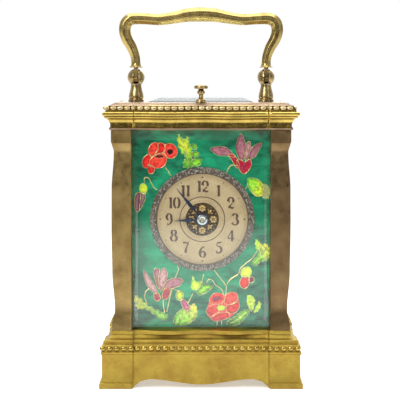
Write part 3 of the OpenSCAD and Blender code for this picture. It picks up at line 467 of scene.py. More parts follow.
def ring(half, offset, z, bow=0.0, break_at=BREAK_AT):
    """One closed ring of a moulding.

    half is the plan's (x, y), bow swells the sides between the corner blocks, and z and offset may be
    functions of a station.
    """
    points = []
    for along, out, depth, turned in SIDES:
        run, stand = (half[1], half[0]) if turned else half
        edge_at = break_at - depth
        limit = run + (offset(1.0, 99.0) if callable(offset) else offset)
        for sign, kind, t, inward in side(edge_at)[:-1]:
            s = edge_at + (limit - edge_at) * t if kind == "block" else t
            place = 1.0 if kind == "block" else 1.0 - inward
            o = offset(place, s) if callable(offset) else offset
            swing = s / (edge_at - 2)
            curve = bow * (0.5 - 0.5 * math.cos(2 * math.pi * swing)) if inward == 1.0 else 0
            height = z(place, s, edge_at) if callable(z) else z
            p = along * (sign * s) + out * (stand + o - BREAK_IN * inward + curve)
            points.append((p.x, p.y, height - 0.3 * curve))
    return points


def stack(name, rings, material, closed_loop=False, **options):
    """A solid from rings that sit one on the other; a closed loop is a frame, and the rest is capped."""
    n = len(rings[0])
    verts = [p for r in rings for p in r]
    faces = grid_faces(len(rings), n)
    if closed_loop:
        last = (len(rings) - 1) * n
        faces += [(last + k, last + (k + 1) % n, (k + 1) % n, k) for k in range(n)]
    else:
        faces += [tuple(range(n)), tuple(range(len(verts) - n, len(verts)))]
    return new_object(name, verts, faces, material, **options)


def apron(place, s, edge_at):
    """Height of the lower edge: feet at the corners, then the waved apron."""
    foot = edge_at - 0.6
    top = foot - 3.6
    wave = top - 4
    if s >= foot:
        return 0.0
    if s > top:
        return 3.3 * (foot - s) / 3.6 + 0.15
    if s >= wave:
        return 3.3 + 1.0 * (top - s) / 4
    return 1.7 + 2.6 * (1 - math.cos(math.pi * min(1, s / wave))) / 2


def arc(centre_offset, centre_z, radius, start, end, n):
    return [(centre_offset + radius * math.cos(math.radians(start + (end - start) * i / n)),
             centre_z + radius * math.sin(math.radians(start + (end - start) * i / n))) for i in range(n + 1)]


# Base, from the lower edge of foot and apron upwards
rings = []
PLINTH_IN = -1.3
for i, (o, z) in enumerate([(0.0, 0.0), (0.0, 2.2), (-0.12, 2.6), (-0.45, 2.85), (-0.95, 2.9), (-0.98, 3.3),
                            (-1.05, 3.8), (-1.3, 4.6)]):
    lifted = 0.12 * i

    def row_offset(place, s, o=o):
        return o if s > BREAK_AT - 7.5 and place > 0.999 else PLINTH_IN

    def row_height(place, s, edge_at, z=z, lifted=lifted):
        return z if place > 0.999 else apron(place, s, edge_at) + lifted

    rings.append(ring((HALF_X, HALF_Y), row_offset, row_height))
plinth = [(-1.3, 8.0), (-1.3, 12.0), (-1.3, 15.9), (-1.2, 16.3)]
bead_band = [(-0.75, 16.6), (-0.7, 17.2), (-1.0, 17.5), (-1.6, 17.9), (-1.75, 18.8), (-1.65, 20.0),
             (-1.35, 20.5), (-1.3, 20.9), (-1.6, 21.15)]
cove = [(-2.4, 21.2), (-2.45, 21.7)] + arc(-2.9, 22.5, 0.75, -40, 75, 5) + arc(-3.3, 26.0, 2.6, -95, -165, 7)
for o, z in plinth + bead_band + cove:
    rings.append(ring((HALF_X, HALF_Y), o, z))
for o, z, bow in ((-5.95, 25.35, 0.5), (-5.55, 25.45, 1.1), (-5.45, 25.8, 1.2), (-5.45, 26.9, 1.2),
                  (-5.6, 27.25, 1.15), (-6.0, PILLAR_BASE, 1.0)):
    rings.append(ring((HALF_X, HALF_Y), o, z, bow=bow))
inner = ring((HALF_X, HALF_Y), -4.2, apron)
inside = [(p[0], p[1], 6.4) for p in inner]
base = stack("base_plinth.body", [inside, inner] + rings, M_PLINTH, sharp=34, slot="case_brass")
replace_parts(base, "base_plinth")


def walk(points, pitch):
    """Evenly spaced points and unit tangents along a closed line."""
    pts = [Vector(p) for p in points]
    legs = [(pts[i], pts[(i + 1) % len(pts)]) for i in range(len(pts))]
    total = sum((b - a).length for a, b in legs)
    count = round(total / pitch)
    step, left, out = total / count, 0.0, []
    for a, b in legs:
        length = (b - a).length
        while left < length:
            out.append((a.lerp(b, left / length), (b - a).normalized()))
            left += step
        left -= length
    return out


def beads(name, points, pitch, shape, material, lean=0.0, slot="case_brass", crest=1.0):
    """A row of ellipsoids along a closed line.

    shape is the half sizes along, across and up; lean tips them outwards, and crest squashes their tops.
    """
    verts, faces = [], []
    n, m = 10, 6
    for p, t in walk(points, pitch):
        t.z = 0
        t.normalize()
        out = Vector((t.y, -t.x, 0))
        up = Vector((0, 0, math.cos(lean))) + out * math.sin(lean)
        start = len(verts)
        for i in range(m + 1):
            phi = math.pi * i / m
            for k in range(n):
                a = 2 * math.pi * k / n
                verts.append(p + t * (shape[0] * math.sin(phi) * math.cos(a))
                             + out * (shape[1] * math.sin(phi) * math.sin(a))
                             + up * (shape[2] * math.cos(phi) * (crest if i < m / 2 else 1.0)))
        faces += grid_faces(m + 1, n, start=start)
    return new_object(name, verts, faces, material, slot=slot, sharp=80)


bead_line = ring((HALF_X, HALF_Y), -1.7, 19.2)
beads("base_plinth.beads", bead_line, 3.36, (1.55, 0.95, 1.3), M_CASE)

CASE_X, CASE_Y = 42.8, 36.1
crown = [(0.2, -0.0), (0.55, 0.05), (0.9, 0.3), (0.9, 1.1), (0.6, 1.4), (0.3, 1.6), (0.3, 3.5), (0.6, 3.9)]
crown += arc(3.3, 3.9, 2.5, 175, 100, 6) + [(3.0, 6.75), (3.0, 7.0), (2.7, 7.1)]
crown += arc(2.6, 8.4, 1.3, -80, 72, 9) + [(2.75, 9.8), (2.4, 9.95), (2.35, 10.3), (2.0, 10.4), (1.9, 12.35),
                                           (1.1, 12.45), (1.1, 12.8), (0.9, 13.0)]
crown += [(-0.4, 13.5), (-1.4, 14.1), (-2.1, 14.35)]
CROWN_PROFILE_H = 14.4
CROWN_SCALE = (TOP_Z - PILLAR_TOP) / CROWN_PROFILE_H


def crown_ring(o, z, bow=0.5):
    """A ring of the cornice at a height of its profile."""
    return ring((CASE_X, CASE_Y), o, PILLAR_TOP + z * CROWN_SCALE, break_at=CROWN_BREAK, bow=bow)


crown_rings = [crown_ring(o, z) for o, z in crown]
top_flat = TOP_Z - 0.02
crown_rings.append(ring((CASE_X, CASE_Y), -2.6, top_flat, break_at=CROWN_BREAK, bow=0.4))


def inset(points, x, y, z):
    """The ring pulled in to a rectangle, station by station."""
    fx = max(abs(p[0]) for p in points)
    fy = max(abs(p[1]) for p in points)
    out = []
    for p in points:
        u, v = p[0] / fx, p[1] / fy
        m = max(abs(u), abs(v))
        out.append((x * u / m, y * v / m, z))
    return out


last = crown_rings[-1]
rebate = box_mm("top_glass")[0].z
for x, y, z in ((25.75, 24.15, top_flat), (25.75, 24.15, rebate), (23.6, 22, rebate), (23.6, 22, rebate - 1.9),
                (33, 32.4, rebate - 1.9), (33, 32.4, PILLAR_TOP)):
    crown_rings.append(inset(last, x, y, z))
cornice = stack("cornice.body", crown_rings, M_CASE, closed_loop=True, sharp=30, slot="case_brass")
cornice.data.materials.append(M_PLATE_AND_BEAD_HIGHLIGHT)
# The top and the bottom bead take the paler plate brass; on the bottom bead it is a painted highlight, a pale
# line of reflection
for p in cornice.data.polygons:
    if not 1.1 < (p.center.z / MM - PILLAR_TOP) / CROWN_SCALE < 12.85:
        p.material_index = 1
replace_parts(cornice, "cornice")
beads("cornice.gadroons", crown_ring(1.95, 11.9), 3.25, (1.72, 0.6, 1.35), M_TONGUE, lean=-0.15, crest=0.35)

# ---------------------------------------------------------------- pillars

# Height up the pillar, and how far its outer faces stand out there
PROFILE_H = 94.6
PILLAR_SCALE = (PILLAR_TOP - PILLAR_BASE) / PROFILE_H
SWELL = [(0, 0.1), (1.6, 0), (9.5, -1.4), (28, -0.25), (46, 0), (66, -0.15), (84.4, -1.2), (88.6, -0.2),
         (88.7, 0.1), (PROFILE_H, 0.1)]
INNER_X, INNER_Y = 33.2, 26.5


def swell_at(z):
    for (z0, a), (z1, b) in zip(SWELL, SWELL[1:]):
        if z <= z1:
            return a + (b - a) * (1 - math.cos(math.pi * (z - z0) / (z1 - z0))) / 2
    return SWELL[-1][1]


def pillar(name, sx, sy):
    foot, waist = 1.6, 84.4
    verts = []
    heights = [0, 0.8, foot] + [foot + (waist - foot) * k / 44 for k in range(1, 45)]
    heights += [waist + 4.2 * k / 6 for k in range(1, 7)] + [88.75, 90, 92, PROFILE_H]
    arris = 0.35
    for h in heights:
        s = swell_at(h)
        x1, y1 = CASE_X + s, CASE_Y + s
        z = PILLAR_BASE + h * PILLAR_SCALE
        line = [(INNER_X, INNER_Y), (x1 - arris, INNER_Y), (x1, INNER_Y + arris), (x1, y1 - arris),
                (x1 - arris, y1), (INNER_X + arris, y1), (INNER_X, y1 - arris)]
        verts += [(sx * x, sy * y, z) for x, y in line]
    n = 7
    faces = grid_faces(len(heights), n)
    faces += [tuple(range(n)), tuple(range(len(verts) - n, len(verts)))]
    o = new_object(name + ".shaft", verts, faces, M_PILLAR, slot="pillar_brass", sharp=30)
    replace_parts(o, name)


for name, sx, sy in (("pillar_front_left", -1, -1), ("pillar_front_right", 1, -1), ("pillar_rear_left", -1, 1),
                     ("pillar_rear_right", 1, 1)):
    pillar(name, sx, sy)

# ---------------------------------------------------------------- handle, posts and button

PIVOT_UP = 12.0
TANG_R = 3.3
PIVOT_Z = TOP_Z + PIVOT_UP
POST_X = 32.3
# The bail's centre line from the left pivot to the middle: x, height over the pivot, radius
BAIL = [(-32.3, 5.2, 3.0), (-32.35, 6.4, 2.4), (-32.7, 10.2, 2.4), (-34.4, 14.8, 2.7), (-36.7, 18.9, 2.9),
        (-37.8, 23, 3), (-37, 26.9, 3.1), (-33.9, 28.9, 3.1), (-28, 28.9, 2.9), (-20.6, 28.5, 2.9),
        (-13.2, 29.5, 3.1), (-6.6, 30.7, 3.5), (0, 31, 3.7)]
line = catmull(BAIL + [(-x, z, r) for x, z, r in reversed(BAIL[:-1])], 7)
REEDS = 8
REED_POINTS = 8 * REEDS
verts = []
for i, (x, z, r) in enumerate(line):
    a = Vector(line[max(i - 1, 0)][:2])
    b = Vector(line[min(i + 1, len(line) - 1)][:2])
    t = (b - a).normalized()
    normal = Vector((-t.y, 0, t.x))
    centre = Vector((x, 0, PIVOT_Z + z))
    for k in range(REED_POINTS):
        angle = 2 * math.pi * k / REED_POINTS
        rr = r - 0.12 * r / 3 * (1 + math.cos(REEDS * angle))
        verts.append(centre + normal * (rr * math.cos(angle)) + Vector((0, rr * math.sin(angle), 0)))
handle = new_object("handle.bail", verts, grid_faces(len(line), REED_POINTS) + ends(verts, REED_POINTS),
                    M_HANDLE, body="handle", slot="handle_brass", sharp=80)
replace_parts(handle, "handle")
for s, hand in ((-1, "left"), (1, "right")):
    # Flared leaf collar with a scalloped edge
    verts = []
    n = 40
    collar = [(2.2, 7.2), (2.45, 6.2), (2.75, 5.5), (3.3, 5.0), (3.25, 4.75), (2.5, 4.9), (2.0, 5.2)]
    for r, z in collar:
        for k in range(n):
            a = 2 * math.pi * k / n
            cut = 0.28 * abs(math.sin(4 * a)) if z < 5.3 else 0
            verts.append((s * POST_X + r * math.cos(a), r * math.sin(a), PIVOT_Z + z + cut))
    new_object("handle.collar_" + hand, verts, grid_faces(len(collar), n) + ends(verts, n), M_HANDLE,
               body="handle", slot="handle_brass")
    # Tang in the slot of the ball
    outline = arc(0, 0, TANG_R, 180, 360, 16) + [(2.2, 5.6), (-2.2, 5.6)]
    verts = [(s * POST_X + x, y, PIVOT_Z + z) for x in (-1.05, 1.05) for y, z in outline]
    m = len(outline)
    new_object("handle.tang_" + hand, verts, ends(verts, m) + grid_faces(2, m), M_POST, body="handle",
               slot="handle_brass", bevel=0.15)


def cut(target, cutter):
    """Takes the cutter's volume out of the target for good."""
    m = target.modifiers.new("cut", "BOOLEAN")
    m.operation = "DIFFERENCE"
    m.solver = "EXACT"
    m.object = cutter
    bpy.context.view_layer.update()
    mesh = bpy.data.meshes.new_from_object(target.evaluated_get(bpy.context.evaluated_depsgraph_get()))
    target.modifiers.clear()
    target.data = mesh
    mesh.shade_smooth()
    mesh.set_sharp_from_angle(angle=math.radians(32))
    bpy.data.objects.remove(cutter)


def plain_box(low, high):
    """A box to cut with; it isn't kept."""
    (x0, y0, z0), (x1, y1, z1) = low, high
    v = [(x, y, z) for x in (x0, x1) for y in (y0, y1) for z in (z0, z1)]
    f = [(0, 1, 3, 2), (4, 6, 7, 5), (0, 4, 5, 1), (2, 3, 7, 6), (0, 2, 6, 4), (1, 5, 7, 3)]
    mesh = bpy.data.meshes.new("cutter")
    mesh.from_pydata([Vector(p) * MM for p in v], [], f)
    return add_object("cutter", mesh)


BALL_R = 4.25
for s, name in ((-1, "handle_post_left"), (1, "handle_post_right")):
    x = s * POST_X
    knuckle = [(0.0, -PIVOT_UP), (3.88, -PIVOT_UP), (3.9, -11.8), (3.85, -11.0), (3.5, -10.75), (3.45, -10.5),
               (3.65, -10.2), (3.7, -9.4), (3.45, -8.0), (3.05, -6.6), (2.75, -5.4), (2.6, -4.3), (2.62, -3.7)]
    knuckle += [(BALL_R * math.cos(math.radians(a)), BALL_R * math.sin(math.radians(a))) for a in range(-50, 90,
                                                                                                        7)]
    knuckle += [(0.0, BALL_R)]
    post = lathe(name + ".turned", [(r, PIVOT_Z + h) for r, h in knuckle], (x, 0, 0), M_POST,
                 slot="handle_brass", n=56, sharp=30)
    cut(post, plain_box((x - 1.2, -8, PIVOT_Z - TANG_R - 0.06), (x + 1.2, 8, PIVOT_Z + 6)))
    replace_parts(post, name)

BUTTON_Y = -30
STEM_BOTTOM = -8.55
cap = [(0, STEM_BOTTOM), (0.9, STEM_BOTTOM), (1.25, -8.2), (1.28, 0.9), (1.15, 1.0), (1.15, 2.6), (1.1, 3.0),
       (1.0, 3.6), (1.15, 3.9), (1.75, 4.2), (1.9, 4.8), (1.8, 5.4), (1.2, 5.9), (1.1, 6.15), (1.6, 6.3),
       (2.7, 6.4), (3.2, 6.65), (3.3, 7.0), (3.3, 7.6), (3.1, 8.0), (2.6, 8.25), (0, 8.3)]
button = lathe("repeat_button.turned", cap, (0, BUTTON_Y, TOP_Z), M_POST, body="repeat_button",
               slot="case_brass", n=40)
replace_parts(button, "repeat_button")
bush = [(1.42, 1.8), (1.6, 1.82), (2.1, 1.55), (2.5, 1.0), (2.6, 0.5), (2.85, 0.3), (2.88, 0.0), (2.2, -0.05),
        (2.2, -5.5), (1.42, -5.5)]
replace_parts(lathe("button_bush.turned", bush, (0, BUTTON_Y, TOP_Z), M_POST, slot="case_brass", n=40, tube=True),
            "button_bush")

# ---------------------------------------------------------------- glass, door and movement keep CAD shapes


def finish_nodes(material, slot, *names, bevel=0.0):
    """One material for CAD nodes that keep their shapes; slot is not used."""
    for n in names:
        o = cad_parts[n]
        o.data.materials.clear()
        o.data.materials.append(material)
        for p in o.data.polygons:
            p.material_index = 0
        if bevel:
            add_bevel(o, bevel, 40)


finish_nodes(M_TOP_GLASS, "glass", "top_glass")
PANES = ("front_glass", "side_glass_left", "side_glass_right", "door_glass")
finish_nodes(M_GLASS, "glass", *PANES)
for n in PANES:
    # The ground bevels scatter a little; the lower one faces the floor and stays clear
    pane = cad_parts[n]
    pane.data.materials.append(M_BEVEL)
    for p in pane.data.polygons:
        x, y, z = (abs(c) for c in p.normal)
        slanted = min(x, y) + min(z, max(x, y)) > 0.05
        if slanted and p.normal.z > -0.1:
            p.material_index = 1
finish_nodes(M_CASE, "case_brass", "bottom_plate", "door_knob")
finish_nodes(M_CASE, "case_brass", "door_frame", bevel=0.25)
finish_nodes(M_STEEL, "steel", "case_bolts", "handle_pins", "door_pins", "repeat_lever", "going_mainspring",
             "strike_mainspring", "going_arbor", "strike_arbor", "going_click", "strike_click", "hammer",
             "escape_wheel", "pallet_lever", "rack", "hand_collet")
finish_nodes(M_BLUED, "blued_steel", "hour_hand", "minute_hand", "hairspring", "gong_coil")
finish_nodes(M_SILVERED, "platform_silver", "platform", "balance_cock")
finish_nodes(M_MOVEMENT, "movement_brass", "front_plate", "back_plate", "balance_wheel", "contrate_wheel",
             "third_wheel", "centre_wheel", "intermediate_wheel", "going_barrel", "strike_barrel",
             "strike_second_wheel", "pin_wheel", "fly", "gong_block", "cannon_pinion", "minute_wheel",
             "hour_wheel")

# ---------------------------------------------------------------- enamel panel

DIAL_X, DIAL_Z = 0.6, 80.0
PANEL_Y = box_mm("enamel_panel")[0].y


def radial(s, x, z):
    """Distance from an axis along y, in millimetres."""
    shifted = s.node("ShaderNodeVectorMath", {"Vector": s.place()}, operation="SUBTRACT")
    shifted.inputs[1].default_value = (x, 0, z)
    flat = s.node("ShaderNodeVectorMath", {0: shifted.outputs[0], 1: (1, 0, 1)}, operation="MULTIPLY")
    length = s.node("ShaderNodeVectorMath", {0: flat.outputs[0]}, operation="LENGTH")
    return length.outputs["Value"]


def enamel_ground():
    """Green enamel over a fine pecked ground: brighter round the dial, clouded, streaked and flecked."""
    s = Shader("enamel_green", Roughness=0.35, Specular_IOR_Level=0.15)
    near = s.ramp(s.span(radial(s, DIAL_X, DIAL_Z), 24.0, 62.0), (0.0, (0.008, 0.27, 0.135)),
                  (0.3, (0.007, 0.20, 0.10)), (0.7, (0.007, 0.13, 0.067)), (1.0, (0.010, 0.11, 0.066)))
    cloud = s.noise(13.0, 3.0, (1, 1, 1.7))
    pale = s.mix(s.ramp(cloud, (0.48, 0.0), (0.62, 0.9)), near, (0.012, 0.42, 0.20))
    shade = s.ramp(s.noise(7.0, 5.0, (0.7, 1, 1.5)), (0.49, 0.0), (0.66, 0.85))
    deep = s.mix(shade, pale, (0.004, 0.052, 0.035))
    dots = s.node("ShaderNodeTexVoronoi", {"Vector": s.place((1, 0, 1))})
    dots.inputs["Scale"].default_value = 1.15
    dots.inputs["Randomness"].default_value = 0.25
    fleck = s.ramp(dots.outputs["Distance"], (0.1, 1.0), (0.42, 0.0))
    strokes = s.ramp(s.noise(2.2, 4.0, (0.5, 1, 1.3)), (0.46, 0.0), (0.62, 0.5))
    brushed = s.mix(strokes, deep, (0.010, 0.30, 0.14))
    s.set(Base_Color=s.mix(s.math("MULTIPLY", fleck, 0.12), brushed, (0.06, 0.5, 0.28)))
    s.bump(dots.outputs["Distance"], 0.03, 0.5)
    s.bump(s.noise(9.0, 2.0), 0.05)
    return s.material


def tinted(name, rough=0.22):
    """Enamel whose colour comes from the mesh's own tint, mottled as fired glass is."""
    s = Shader(name, Roughness=rough, Specular_IOR_Level=0.25)
    tint = s.node("ShaderNodeAttribute", attribute_name="tint").outputs["Color"]
    mottle = s.ramp(s.noise(1.4, 4.0), (0.3, 0.85), (0.7, 1.3))
    s.set(Base_Color=s.mix(1.0, tint, mottle, "MULTIPLY"))
    s.bump(s.noise(1.2, 3.0), 0.03)
    return s.material


M_GROUND = enamel_ground()
M_PETAL = tinted("enamel_colours")
M_WIRE = brass("cloison_wire", (0.95, 0.80, 0.42), (0.85, 0.68, 0.30), (0.55, 0.40, 0.16), (0.18, 0.3), 0.0,
               3.0)
finish_nodes(M_GROUND, "enamel", "enamel_panel")


def inside(point, polygon):
    """Whether a polygon holds a point."""
    x, y = point
    hit = False
    j = len(polygon) - 1
    for i in range(len(polygon)):
        (xi, yi), (xj, yj) = polygon[i], polygon[j]
        if (yi > y) != (yj > y) and x < (xj - xi) * (y - yi) / (yj - yi) + xi:
            hit = not hit
        j = i
    return hit


def edge_distance(point, polygon):
    """Distance from a point to a polygon's outline."""
    p = Vector(point)
    best = 99.0
    for i in range(len(polygon)):
        a, b = Vector(polygon[i - 1]), Vector(polygon[i])
        d = b - a
        t = min(max((p - a).dot(d) / max(d.length_squared, 1e-9), 0), 1)
        best = min(best, (a + d * t - p).length)
    return best


def blend3(a, b, t):
    t = min(max(t, 0.0), 1.0)
    return tuple(p + (q - p) * t for p, q in zip(a, b))


class Patches:
    """Flat coloured cells gathered into one mesh, and the wires round them into one curve."""

    def __init__(self):
        self.verts, self.faces, self.tints = [], [], []
        self.wires = []

    def cell(self, outline, rim, heart, tip=None, root=None, steps=5, level=0.05, wire=0.2, teeth=0.0, soft=1.6,
             shade=None):
        """One cell: rim colour at its edge, heart colour inside, tip colour away from the root.

        level is its height over the panel, wire the radius of the wire round it, teeth the height of its
        saw edge, soft the width over which rim turns to heart, and shade the colour of its streaks.
        """
        line = catmull(outline, steps, closed=True)
        if teeth:
            line = self.serrate(line, teeth)
        clean = [line[0]]
        for p in line[1:]:
            if (Vector(p) - Vector(clean[-1])).length > 0.08:
                clean.append(p)
        if (Vector(clean[0]) - Vector(clean[-1])).length < 0.08:
            clean.pop()
        xs, zs = [p[0] for p in clean], [p[1] for p in clean]
        pitch = max(0.4, (max(xs) - min(xs) + max(zs) - min(zs)) / 44)
        points = list(clean)
        z = min(zs) + pitch / 2
        row = 0
        while z < max(zs):
            x = min(xs) + pitch * (0.5 if row % 2 else 0.25)
            while x < max(xs):
                if inside((x, z), clean) and edge_distance((x, z), clean) > pitch * 0.4:
                    points.append((x, z))
                x += pitch
            z += pitch * 0.9
            row += 1
        n = len(clean)
        out = delaunay([Vector(p) for p in points], [], [list(range(n))], 1, 1e-5)
        start = len(self.verts)
        anchor = Vector(root or outline[0])
        reach = max((Vector(p) - anchor).length for p in clean)
        for v in out[0]:
            d = edge_distance(v, clean)
            colour = blend3(rim, heart, d / soft)
            if tip:
                colour = blend3(colour, tip, ((v - anchor).length / reach - 0.35) / 0.6)
            if shade:
                streak = noise.noise(Vector((v.x * 0.8, v.y * 0.8, start * 0.01)))
                colour = blend3(colour, shade, min(0.6, 2.4 * (streak - 0.08)))
            grain = 1 + 0.16 * noise.noise(Vector((v.x * 1.3, v.y * 1.3, len(self.verts) * 0.001)))
            self.tints.append(tuple(c * grain for c in colour))
            self.verts.append((DIAL_X + v.x, PANEL_Y - level - 0.10 * min(1, d / 1.2), DIAL_Z + v.y))
        self.faces += [tuple(start + i for i in f) for f in out[2]]
        if wire:
            self.wires.append((clean, wire, level + 0.05, True))

    @staticmethod
    def serrate(line, tooth):
        """Pushes every other point of a line out and the rest a little in."""
        out = []
        for i, p in enumerate(line):
            a, b = Vector(line[i - 1]), Vector(line[(i + 1) % len(line)])
            t = (b - a).normalized()
            push = tooth if i % 2 else -tooth * 0.3
            out.append((p[0] + t.y * push, p[1] - t.x * push))
        return out

    def stem(self, points, width=0.3, level=0.06):
        """A wire on its own."""
        self.wires.append((catmull(points, 6), width, level, False))

    def veins(self, width, level, *pairs):
        for pair in pairs:
            self.stem(list(pair), width, level)

    def build(self, name, material, wire_material):
        """Makes the cells' mesh, and one curve for each thickness of wire."""
        mesh = bpy.data.meshes.new(name)
        mesh.from_pydata([Vector(v) * MM for v in self.verts], [], self.faces)
        layer = mesh.color_attributes.new("tint", "FLOAT_COLOR", "POINT")
        for i, c in enumerate(self.tints):
            layer.data[i].color = (*c, 1)
        bm = bmesh.new()
        bm.from_mesh(mesh)
        for f in bm.faces:
            if f.normal.y > 0:
                f.normal_flip()
        bm.to_mesh(mesh)
        bm.free()
        mesh.shade_smooth()
        mesh.materials.append(material)
        o = add_object(name, mesh)
        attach(o, CASE)
        for width in sorted({w[1] for w in self.wires}):
            curve = bpy.data.curves.new(name + ".wire", "CURVE")
            curve.dimensions = "3D"
            curve.bevel_depth = width * MM
            curve.bevel_resolution = 1
            for line, w, level, closed in self.wires:
                if w != width:
                    continue
                spline = curve.splines.new("POLY")
                spline.points.add(len(line) - 1)
                spline.use_cyclic_u = closed
                for q, p in zip(spline.points, line):
                    q.co = ((DIAL_X + p[0]) * MM, (PANEL_Y - level) * MM, (DIAL_Z + p[1]) * MM, 1)
            curve.materials.append(wire_material)
            w = add_object(f"{name}.wire_{round(width * 100)}", curve)
            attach(w, CASE)


RED, DEEP_RED, MAROON = (0.95, 0.026, 0.020), (0.55, 0.006, 0.012), (0.04, 0.001, 0.008)
SCARLET = (1.0, 0.075, 0.045)
PINK, ROSE, PURPLE = (0.50, 0.19, 0.23), (0.30, 0.05, 0.10), (0.14, 0.02, 0.075)
PALE_PINK, CRIMSON = (0.70, 0.38, 0.38), (0.46, 0.012, 0.04)
YELLOW, LIME, LEAF = (1.0, 0.92, 0.06), (0.44, 0.90, 0.04), (0.03, 0.36, 0.03)
PALE, DARK_LEAF, CREAM = (0.42, 0.60, 0.22), (0.010, 0.16, 0.03), (0.55, 0.46, 0.2)

LEAF_EDGE = {"steps": 3, "wire": 0.12}

art = Patches()

# Outlines are in millimetres from the dial's centre, as seen from the front

# Upper left: full red flower, its dark heart and its stem
POPPY = (
    ([(-28.9, 26.8), (-28.6, 29.3), (-27, 30.9), (-25.4, 31.4), (-24.3, 29.6), (-24.8, 27), (-26, 25),
      (-28, 24.9)], DEEP_RED, RED),
    ([(-25.5, 31.5), (-26, 34), (-24.6, 36.3), (-22.8, 37.2), (-21.4, 36.3), (-21.2, 33.9), (-22.6, 31.9),
      (-24.2, 29.9)], RED, SCARLET),
    ([(-21.6, 33.8), (-21.4, 36.4), (-20, 37.1), (-18.6, 36.3), (-17.6, 34.6), (-18.4, 32.6), (-20.4, 31.8),
      (-22.6, 32)], DEEP_RED, RED),
    ([(-18.2, 35.2), (-17, 36.4), (-14.6, 36.6), (-12.4, 34.4), (-12.1, 31.9), (-13.4, 30), (-15.6, 29.4),
      (-17.3, 30.4), (-18.4, 32.6)], RED, SCARLET),
    ([(-24.4, 30), (-22, 31.6), (-19, 32), (-17.2, 30.4), (-17.4, 27.6), (-18.6, 25.6), (-21, 24.7),
      (-23.6, 25.2), (-25.8, 26.4)], RED, SCARLET),
    ([(-25.8, 26.5), (-23.4, 25.4), (-22.9, 24.1), (-24.2, 22.1), (-25.8, 22.4), (-26.2, 24.2)], DEEP_RED, RED),
)
art.cell([(-28.9, 26.8), (-28.6, 29.3), (-26.2, 31.4), (-26, 34), (-24.6, 36.3), (-21.6, 37.2), (-18.6, 36.6),
          (-14.6, 36.6), (-12.1, 33), (-13.4, 30), (-16.8, 29.8), (-17.4, 27.6), (-18.6, 25.6), (-21, 24.7),
          (-23.6, 24.5), (-26.6, 24.6)], DEEP_RED, RED, level=0.02, wire=0, shade=MAROON)
for i, (outline, rim, heart) in enumerate(POPPY):
    art.cell(outline, rim, heart, level=0.05 + 0.03 * i, wire=0.15, shade=DEEP_RED)
art.cell([(-17, 33), (-15.6, 33.9), (-14.2, 33.3), (-14.4, 31.9), (-15.9, 31.3)], MAROON, MAROON, level=0.3,
         wire=0)
art.cell([(-23, 30.1), (-21.4, 31.2), (-19.2, 31.2), (-18.4, 30.2), (-20.6, 29.6)], MAROON, DEEP_RED, level=0.3,
         wire=0.1)
art.stem([(-17.7, 25.2), (-16.4, 23.2), (-15.2, 21.2)])
# Upper left: hanging purple bud
art.stem([(-21.6, 14.4), (-23.2, 15.2), (-24.6, 17.6), (-25.6, 19.6), (-27, 20.4), (-28, 19.6), (-28, 17.4)])
art.cell([(-29.7, 12.8), (-32.2, 12), (-32.8, 7.5), (-32.2, 3.9), (-30.5, 4.3), (-30.2, 8)], PURPLE, PINK)
art.cell([(-29.4, 12.8), (-30.2, 8), (-30.3, 4.5), (-28.5, 7.5), (-27.5, 11.6)], PURPLE, PALE_PINK, level=0.08)
art.cell([(-28.5, 17.4), (-30.3, 16), (-30.2, 13.6), (-28.5, 12.3), (-26.8, 13.4), (-26.7, 16)], LIME, YELLOW,
         level=0.12)
# Upper middle: leaf between yellow and green
art.cell([(-12, 41.6), (-10.2, 40.2), (-8.8, 38.8), (-6.9, 40.4), (-6, 39.2), (-6.2, 37), (-4.8, 34.4),
          (-4.6, 30), (-5, 25.2), (-8.4, 24.4), (-9.6, 27.6), (-8, 29.7), (-10, 32),
          (-12, 36.5)], LIME, YELLOW, tip=LEAF,
         root=(-12, 41), teeth=0.75, **LEAF_EDGE, shade=DARK_LEAF)
for leaflet in ([(-4.6, 36.5), (-3.2, 36.3), (-2.2, 34.6), (-3.6, 33.4), (-5, 34.4)],
                [(-4.6, 32.6), (-2.4, 32.7), (-1.2, 31), (-3, 29.8), (-4.8, 30.4)],
                [(-4.8, 28.9), (-2.2, 29.4), (-0.2, 28.9), (-1.2, 26), (-4.8, 25.4)]):
    art.cell(leaflet, LEAF, LIME, level=0.07, teeth=0.4, **LEAF_EDGE, shade=DARK_LEAF)
art.stem([(-10.6, 39.4), (-8.6, 35.2), (-7.2, 30.4), (-6.6, 24.6), (-6.3, 23.4)], 0.2, 0.16)
# Upper right: pink flower with turned-back petals
CYCLAMEN = (
    ([(18.6, 41.3), (16.9, 38.4), (16.2, 34.6), (17.2, 30.4), (19, 28.3), (20.6, 31), (21, 34.8), (20.2, 38.5)],
     PURPLE, PINK),
    ([(22.6, 37.9), (23.4, 35.3), (22.6, 31.6), (20.8, 28.4), (20.3, 31.4), (20.9, 35.6)], ROSE, PALE_PINK),
    ([(3.9, 33.9), (5.8, 34.9), (8.6, 35.2), (11.8, 34.6), (14, 32.6), (15.9, 30.2), (14, 30.3), (11.7, 30.7),
      (7.3, 31.1)], PURPLE, PINK),
    ([(12.5, 31.1), (15.2, 31.3), (16.8, 29.2), (17.9, 26), (16.4, 24.9), (14.6, 28)], DEEP_RED, CRIMSON),
    ([(28.8, 36.9), (25.8, 36.1), (23.6, 34), (22.4, 30.6), (22.4, 28.9), (25.2, 30.1), (27.4, 33.6)], PURPLE,
     PINK),
    ([(16.5, 27.9), (18.4, 29.1), (20.4, 27.6), (22.8, 29.1), (23.8, 26.6), (22.4, 23.7), (20.2, 22),
      (18.2, 23.4)], DEEP_RED, CRIMSON),
)
for i, (outline, rim, heart) in enumerate(CYCLAMEN):
    art.cell(outline, rim, heart, level=0.05 + 0.03 * i, soft=1.1, wire=0.15, shade=ROSE)
art.stem([(17, 26), (14.5, 26.2), (12.7, 24.8), (11.7, 22.6)])
